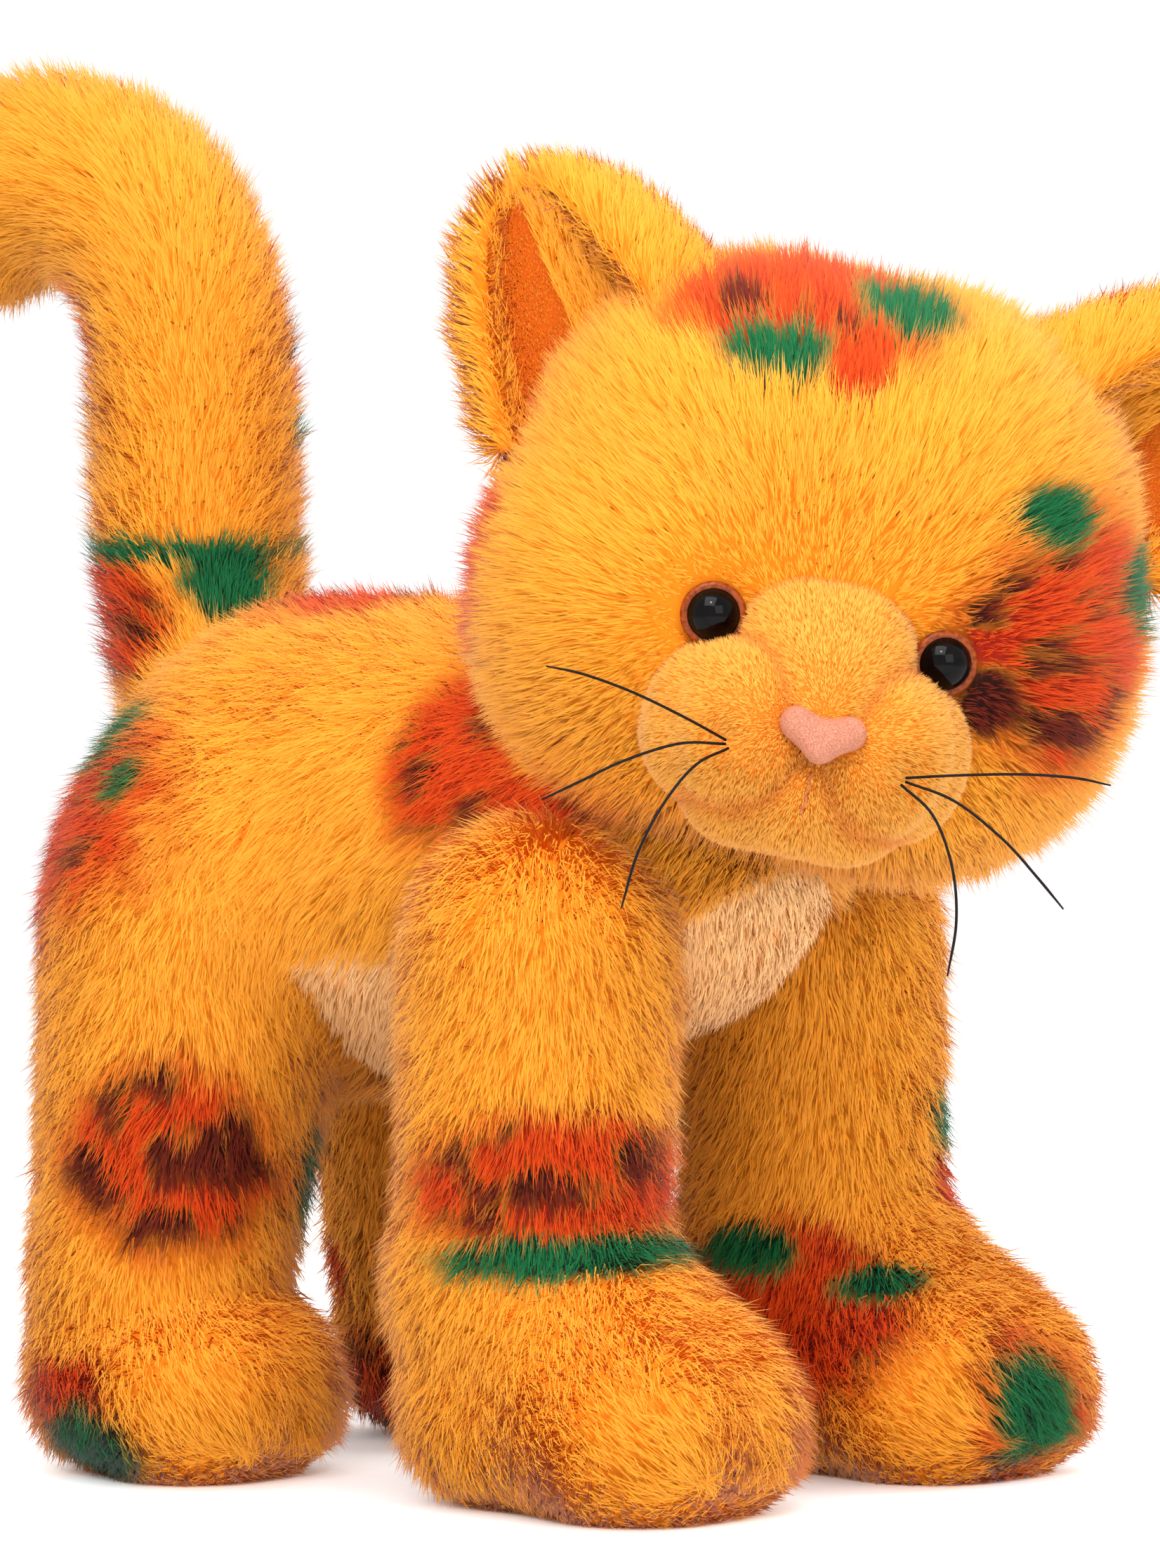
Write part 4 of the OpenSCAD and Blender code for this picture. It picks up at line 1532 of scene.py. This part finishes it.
@dataclass
class Face:
    """The nose, mouth stitching, eyes and whiskers."""

    eye_radius: float = 7.5
    whisker_d: float = 0.8
    whiskers: dict[str, tuple[Point, ...]] = field(
        default_factory=lambda: {
            "upper": ((25, -91, -46), (38, -98, -42), (54, -103, -38), (68, -104, -36), (78, -103, -36)),
            "middle": ((25, -92, -47), (38, -100, -49), (52, -106, -56), (63, -108, -64), (72, -107, -71)),
            "lower": ((24, -92, -48), (33, -101, -54), (40, -107, -66), (44, -109, -80), (45, -108, -95)),
        }
    )

    def build_nose(self, wardrobe: Wardrobe) -> None:
        """The nose: two round lobes that meet in a point below, with a notch between them above."""
        form = Form(
            balls=(
                (-7.2, -92.0, -37.5, 4.2), (7.2, -92.0, -37.5, 4.2),
                (0, -94.0, -42.8, 3.8), (0, -92.2, -39.0, 4.2),
            ),
            links=((0, 3), (3, 1), (0, 2), (2, 1)),
            softness=0.8,
            dents=(Dent((0, -97, -34), 2.6, 1.4),),
        )
        grid = form.cast((0.0, -92.0, -40.0), (12.0, 6.0, 8.0), "Y", 40, 64)
        settle(lay_skin("nose_patch", grid, HEAD, wardrobe["nose_cloth"]), "head", ["nose"])

    def front_of_pads(self, points: Array) -> Array:
        """Moves places along Y onto the front of the muzzle."""
        near, far = np.full(len(points), -40.0), np.full(len(points), -130.0)
        for _ in range(24):
            middle = 0.5 * (near + far)
            test = points.copy()
            test[:, 1] = middle
            out = np.min([form.gap(test) for form in MUZZLE_FORMS], axis=0) > 0
            near, far = np.where(out, near, middle), np.where(out, middle, far)
        moved = points.copy()
        moved[:, 1] = near
        return moved

    def build_mouth(self, wardrobe: Wardrobe) -> None:
        """The stitched line under the nose: short slanted stitches, one below the other."""
        heights = np.linspace(-51.0, -61.0, 6)
        parts = []
        for number, z in enumerate(heights):
            slant = 0.5 if number % 2 else -0.5
            ends = np.array([[-slant, 0, z + 1.0], [0, 0, z], [slant, 0, z - 1.0]])
            line = self.front_of_pads(smooth_line([tuple(e) for e in ends], 9)) + np.array([0.0, -1.1, 0.0])
            parts.append(tube(line, np.full(9, 0.55), 10))
        thread = wardrobe["mouth_thread"]
        join_grids("mouth_stitches", parts, HEAD, thread, "head", ["mouth_stitching"])

    def build_eye(self, side: Side, wardrobe: Wardrobe) -> None:
        """An eye: a dome with a thin shank, and the amber rim that it sits in.

        The dome is a profile turned about the eye's own axis: its radius is that of a ball sunk a little
        into the face, and the shank runs straight back from it.

        Args:
            side: which eye.
            wardrobe: the finishes.
        """
        facing = turned("Z", 4.4 * side.value) @ turned("X", 90.5)
        at = Placement(facing, np.array([side.value * 28.0, -8.0, -14.0]))
        at = HEAD.inside(at.inside(Placement(np.eye(3), np.array([0.0, 0.0, 58.0]))))
        sink = 1.6
        ball = math.hypot(self.eye_radius, sink)
        angle = np.linspace(0.0, math.acos(sink / ball), 28)
        profile = [(ball * math.sin(a), ball * math.cos(a) - sink) for a in angle]
        profile += [(self.eye_radius - 0.25, -0.5), (2.5, -0.6), (2.5, -14.5), (2.2, -14.9), (0.0, -15.0)]
        rim = [(0.0, 0.8), (6.6, 0.8), (7.6, 1.05), (8.5, 0.9)]
        rim += [(9.1, 0.2), (9.1, -0.8), (8.4, -1.5), (0.0, -1.6)]
        for name, shape, finish, nodes in (
            (f"eye_dome_{side.word}", profile, "eye_plastic", [f"eye_{side.word}"]),
            (f"eye_rim_{side.word}", rim, "eye_rim", []),
        ):
            turn = np.linspace(0, 2 * np.pi, 64, endpoint=False)
            r, h = np.array(shape)[:, 0][:, None], np.array(shape)[:, 1][:, None]
            points = np.stack([r * np.cos(turn), r * np.sin(turn), h + 0 * turn], axis=-1)
            grid = Grid(points, grid_normals(points, True))
            settle(lay_skin(name, grid, at, wardrobe[finish]), "head", nodes)

    def build_whisker(self, side: Side, level: str, wardrobe: Wardrobe) -> None:
        """One whisker: a filament that bends along its line and thins at its end."""
        points = [(side.value * x, y, z) for x, y, z in self.whiskers[level]]
        line = smooth_line(points, 40)
        radii = np.full(40, self.whisker_d / 2)
        radii[-6:] *= np.linspace(1.0, 0.6, 6)
        grid = tube(line, radii, 10, (0.0, 1.0, 0.0) if level == "lower" else (0.0, 0.0, 1.0))
        piece = lay_skin(f"whisker_{level}_strand_{side.word}", grid, HEAD, wardrobe["whisker_filament"])
        settle(piece, "head", [f"whisker_{level}_{side.word}"])

    def build(self, wardrobe: Wardrobe) -> None:
        """Makes every piece of the face."""
        self.build_nose(wardrobe)
        self.build_mouth(wardrobe)
        for side in Side:
            self.build_eye(side, wardrobe)
            for level in self.whiskers:
                self.build_whisker(side, level, wardrobe)
            frame["nodes"][f"eye_washer_{side.word}"].data.materials.clear()
            frame["nodes"][f"eye_washer_{side.word}"].data.materials.append(wardrobe["washer_plastic"])


def join_grids(
    name: str,
    grids: Sequence[Grid],
    place: Placement,
    material: bpy.types.Material,
    body: str,
    nodes: Sequence[str],
) -> None:
    """Several grids as one piece.

    Args:
        name: the piece's name.
        grids: its parts.
        place: the frame that they are in.
        material: its finish.
        body: the body that it rides on.
        nodes: CAD nodes that it stands for.
    """
    points, corners, starts, seen, used_corners = [], [], [], 0, 0
    for grid in grids:
        used, corner, start = grid.faces()
        points.append(grid.points.reshape(-1, 3)[used])
        corners.append(corner + seen)
        starts.append(start + used_corners)
        seen += len(used)
        used_corners += len(corner)
    vertices = place.out(np.concatenate(points))
    piece = make_piece(name, vertices, np.concatenate(corners), np.concatenate(starts), material)
    settle(piece, body, nodes)


@dataclass
class Ear:
    """A cupped ear: a furry shell whose rims roll to the front, and a plush lining."""

    side: Side
    half_width: float = 35.0
    height: float = 66.0
    thickness: float = 9.0
    outer_roll: float = 82.0
    crown_roll: float = 146.0
    lined: float = -0.05
    foot: float = 6.0
    depth: float = 0.5
    set_back: float = 0.4
    blots: tuple[Blot, ...] = ()

    @property
    def place(self) -> Placement:
        """The ear's frame: its root on the head, leaning outwards."""
        x = self.side.value
        return HEAD.inside(Placement(turned("Y", 37.0 * x), np.array([x * 66.0, 4.0, 40.0])))

    def radius_at(self, up: Array) -> Array:
        """The sheet's radius at a height from 0 to 1, which thins to a seventh of the widest at the tip."""
        narrow = np.maximum(1.0 - np.clip(up, 0.0, 1.0) ** 1.6, 0.0) ** 0.6
        return self.half_width * (0.14 + 0.86 * narrow)

    def sheet(self, across: Array, up: Array, proud: Array) -> tuple[Array, Array]:
        """Places on the bent sheet that the ear is made of.

        Across it runs from the outer rim at -1 to the crown's rim at 1. It follows an arc about an upright
        axis in front of the ear, whose radius shrinks with height as (1 - up^1.6)^0.6, so the ear ends in a
        round tip.

        Args:
            across: place across the ear, from -1 to 1.
            up: place up the ear, from 0 to 1.
            proud: how far behind the sheet's middle the place lies; it is negative in front.

        Returns:
            The places, and the outward directions behind them.
        """
        x = self.side.value
        radius = self.radius_at(up)
        angle = np.radians(np.where(across < 0, self.outer_roll, self.crown_roll) * across)
        around = np.stack([-x * np.sin(angle), np.cos(angle), 0 * angle], axis=-1)
        squeeze = np.array([1.0, self.depth, 1.0])
        centre = np.stack([0 * angle, -self.set_back * radius, self.height * up - self.foot], axis=-1)
        return centre + (radius + proud)[..., None] * around * squeeze, unit(around / squeeze)

    def shell(self, rows: int, columns: int) -> Grid:
        """The ear's furry skin as closed rings that go round the sheet's back, rim, front and other rim."""
        turn = np.linspace(0, 2 * np.pi, columns, endpoint=False)[None, :]
        up = np.sin(np.linspace(0.0, 0.5 * np.pi, rows))[:, None]
        across = np.sin(turn) * 1.0 + 0.0 * up
        across = np.sign(across) * np.abs(across) ** 0.8
        taper = np.sqrt(np.maximum(1.0 - up**6, 0.0))
        proud = 0.5 * self.thickness * taper * np.sign(np.cos(turn)) * np.abs(np.cos(turn)) ** 0.5
        points, _ = self.sheet(across + 0 * up, up + 0 * turn, proud)
        points[-1] = points[-1].mean(axis=0)
        points[0] = points[0].mean(axis=0)
        normals = grid_normals(points, True)
        back = np.array([0.0, 1.0, 0.0])
        if np.mean(np.sum(normals * back, axis=-1)[:, np.cos(turn[0]) > 0.8]) < 0:
            points, normals = points[:, ::-1], -normals[:, ::-1]
        return Grid(points, normals)

    def lining(self) -> Grid:
        """The plush lining: the sheet's front, from the outer rim to where the crown's side folds over."""
        up = np.linspace(0.02, 0.93, 40)[:, None]
        across = np.linspace(-0.84, self.lined, 44)[None, :]
        proud = -0.5 * self.thickness - 0.7 + 0 * up * across
        points, out = self.sheet(across + 0 * up, up + 0 * across, proud)
        normals = grid_normals(points, False)
        if np.mean(np.sum(normals * -out, axis=-1)) < 0:
            points, normals = points[:, ::-1], -normals[:, ::-1]
        return Grid(points, normals, wraps=False, first_pole=False, last_pole=False)

    def nap(self, points: Array) -> Array:
        """Up the ear and outwards at its rims."""
        flow = np.zeros_like(points)
        flow[..., 2] = 1.0
        flow[..., 0] = 0.022 * points[..., 0]
        return flow

    def bare(self, points: Array) -> Array:
        """True in front of the lining."""
        up = np.clip((points[..., 2] + self.foot) / self.height, 0, 0.999)
        x = self.side.value
        radius = self.radius_at(up)
        forwards = (points[..., 1] + self.set_back * radius) / self.depth
        angle = np.degrees(np.arctan2(-x * points[..., 0], forwards))
        away = np.hypot(points[..., 0], forwards)
        inner = away < radius - 0.5
        return inner & (angle > -0.8 * self.outer_roll) & (angle < self.lined * self.crown_roll) & (up < 0.93)

    def build(self, wardrobe: Wardrobe) -> None:
        """Makes the shell with its coat and the lining with its plush."""
        word, x, body = self.side.word, self.side.value, f"ear_{self.side.word}"
        grid = self.shell(60, 96)
        skin = lay_skin(f"ear_shell_{word}", grid, self.place, wardrobe["gold_pile"], self.blots)
        settle(skin, body, [f"ear_outer_{word}"])
        hidden = deep_inside(HEAD_FORM, 8.0, self.place, HEAD)
        coat = Coat(EAR, self.nap, self.blots, either(self.bare, hidden))
        coat.cover(f"ear_coat_{word}", grid, self.place, wardrobe, "gold_pile", body, (131 + x, 141 + x))
        lining = self.lining()
        skin = lay_skin(f"ear_lining_cloth_{word}", lining, self.place, wardrobe["ear_plush"])
        settle(skin, body, [f"ear_lining_{word}"])
        coat = Coat(LINING, self.nap, ())
        seeds = (151 + x, 161 + x)
        coat.cover(f"ear_lining_plush_{word}", lining, self.place, wardrobe, "ear_plush", body, seeds)


# ---------------------------------------------------------------- studio


@dataclass(frozen=True)
class Softbox:
    """One soft area light that looks at the cat's middle."""

    name: str
    azimuth: float
    elevation: float
    distance: float
    size: float
    watts: float

    def build(self, target: Vector) -> None:
        """Adds the light."""
        a, e = math.radians(self.azimuth), math.radians(self.elevation)
        way = Vector((math.sin(a) * math.cos(e), -math.cos(a) * math.cos(e), math.sin(e)))
        data = bpy.data.lights.new(self.name, "AREA")
        data.shape, data.size, data.energy = "SQUARE", self.size, self.watts
        light = bpy.data.objects.new(self.name, data)
        light.location = target + self.distance * way
        light.rotation_euler = (-way).to_track_quat("-Z", "Y").to_euler()
        bpy.context.scene.collection.objects.link(light)


@dataclass(frozen=True)
class Studio:
    """The pale floor, the white surround, the soft lights and the camera."""

    azimuth: float = -51.0
    elevation: float = 2.0
    distance: float = 2.6
    lens: float = 209.6
    aim: Point = (14.1, -23.5, 198.0)

    def build(self) -> None:
        """Makes the whole studio."""
        scene = bpy.context.scene
        low, high = CAD_BOX
        middle = Vector(((low.x + high.x) / 2, (low.y + high.y) / 2, 0.0)) + Vector(self.aim) * MM
        a, e = math.radians(self.azimuth), math.radians(self.elevation)
        way = Vector((math.sin(a) * math.cos(e), -math.cos(a) * math.cos(e), math.sin(e)))
        data = bpy.data.cameras.new("camera")
        data.sensor_fit, data.sensor_height, data.lens = "VERTICAL", 36.0, self.lens
        data.clip_end = 20.0
        camera = bpy.data.objects.new("camera", data)
        camera.location = middle + self.distance * way
        camera.rotation_euler = (-way).to_track_quat("-Z", "Y").to_euler()
        scene.collection.objects.link(camera)
        scene.camera = camera
        scene.view_settings.view_transform = "Standard"
        centre = Vector((middle.x, middle.y, 0.2))
        for box in (
            Softbox("key", self.azimuth - 16, 54, 1.6, 1.1, 20.0),
            Softbox("glint", self.azimuth - 10, 48, 1.6, 0.18, 4.0),
            Softbox("front", self.azimuth + 24, 20, 1.9, 1.0, 8.0),
            Softbox("rim", self.azimuth + 120, 40, 1.7, 1.0, 12.0),
        ):
            box.build(centre)
        world = bpy.data.worlds.new("surround")
        world.use_nodes = True
        world.node_tree.nodes["Background"].inputs[0].default_value = (1, 1, 1, 1)
        world.node_tree.nodes["Background"].inputs[1].default_value = 1.06
        scene.world = world
        self.build_floor()

    def build_floor(self) -> None:
        """A wide flat floor with a fine, barely seen grain."""
        finish = PlainFinish("pale_floor", (0.93, 0.93, 0.93), (0.95, 0.95, 0.95), 60.0, (0.8, 0.9), 0.02)
        side = 4000.0
        corners = np.array([[-side, -side, 0], [side, -side, 0], [side, side, 0], [-side, side, 0]], float)
        floor = make_piece("floor", corners, np.arange(4), np.array([0]), finish.material())


def main() -> None:
    """Builds the studio and every piece of the cat, in order."""
    logging.basicConfig(level=logging.INFO, format="%(message)s")
    Studio().build()
    wardrobe = Wardrobe()
    Torso().build(wardrobe)
    for side in Side:
        for front in (True, False):
            Leg(side, front).build(wardrobe)
    Tail().build(wardrobe)
    Head().build(wardrobe)
    Muzzle().build(wardrobe)
    Face().build(wardrobe)
    for side in Side:
        Ear(side).build(wardrobe)


if __name__ == "__main__":
    main()
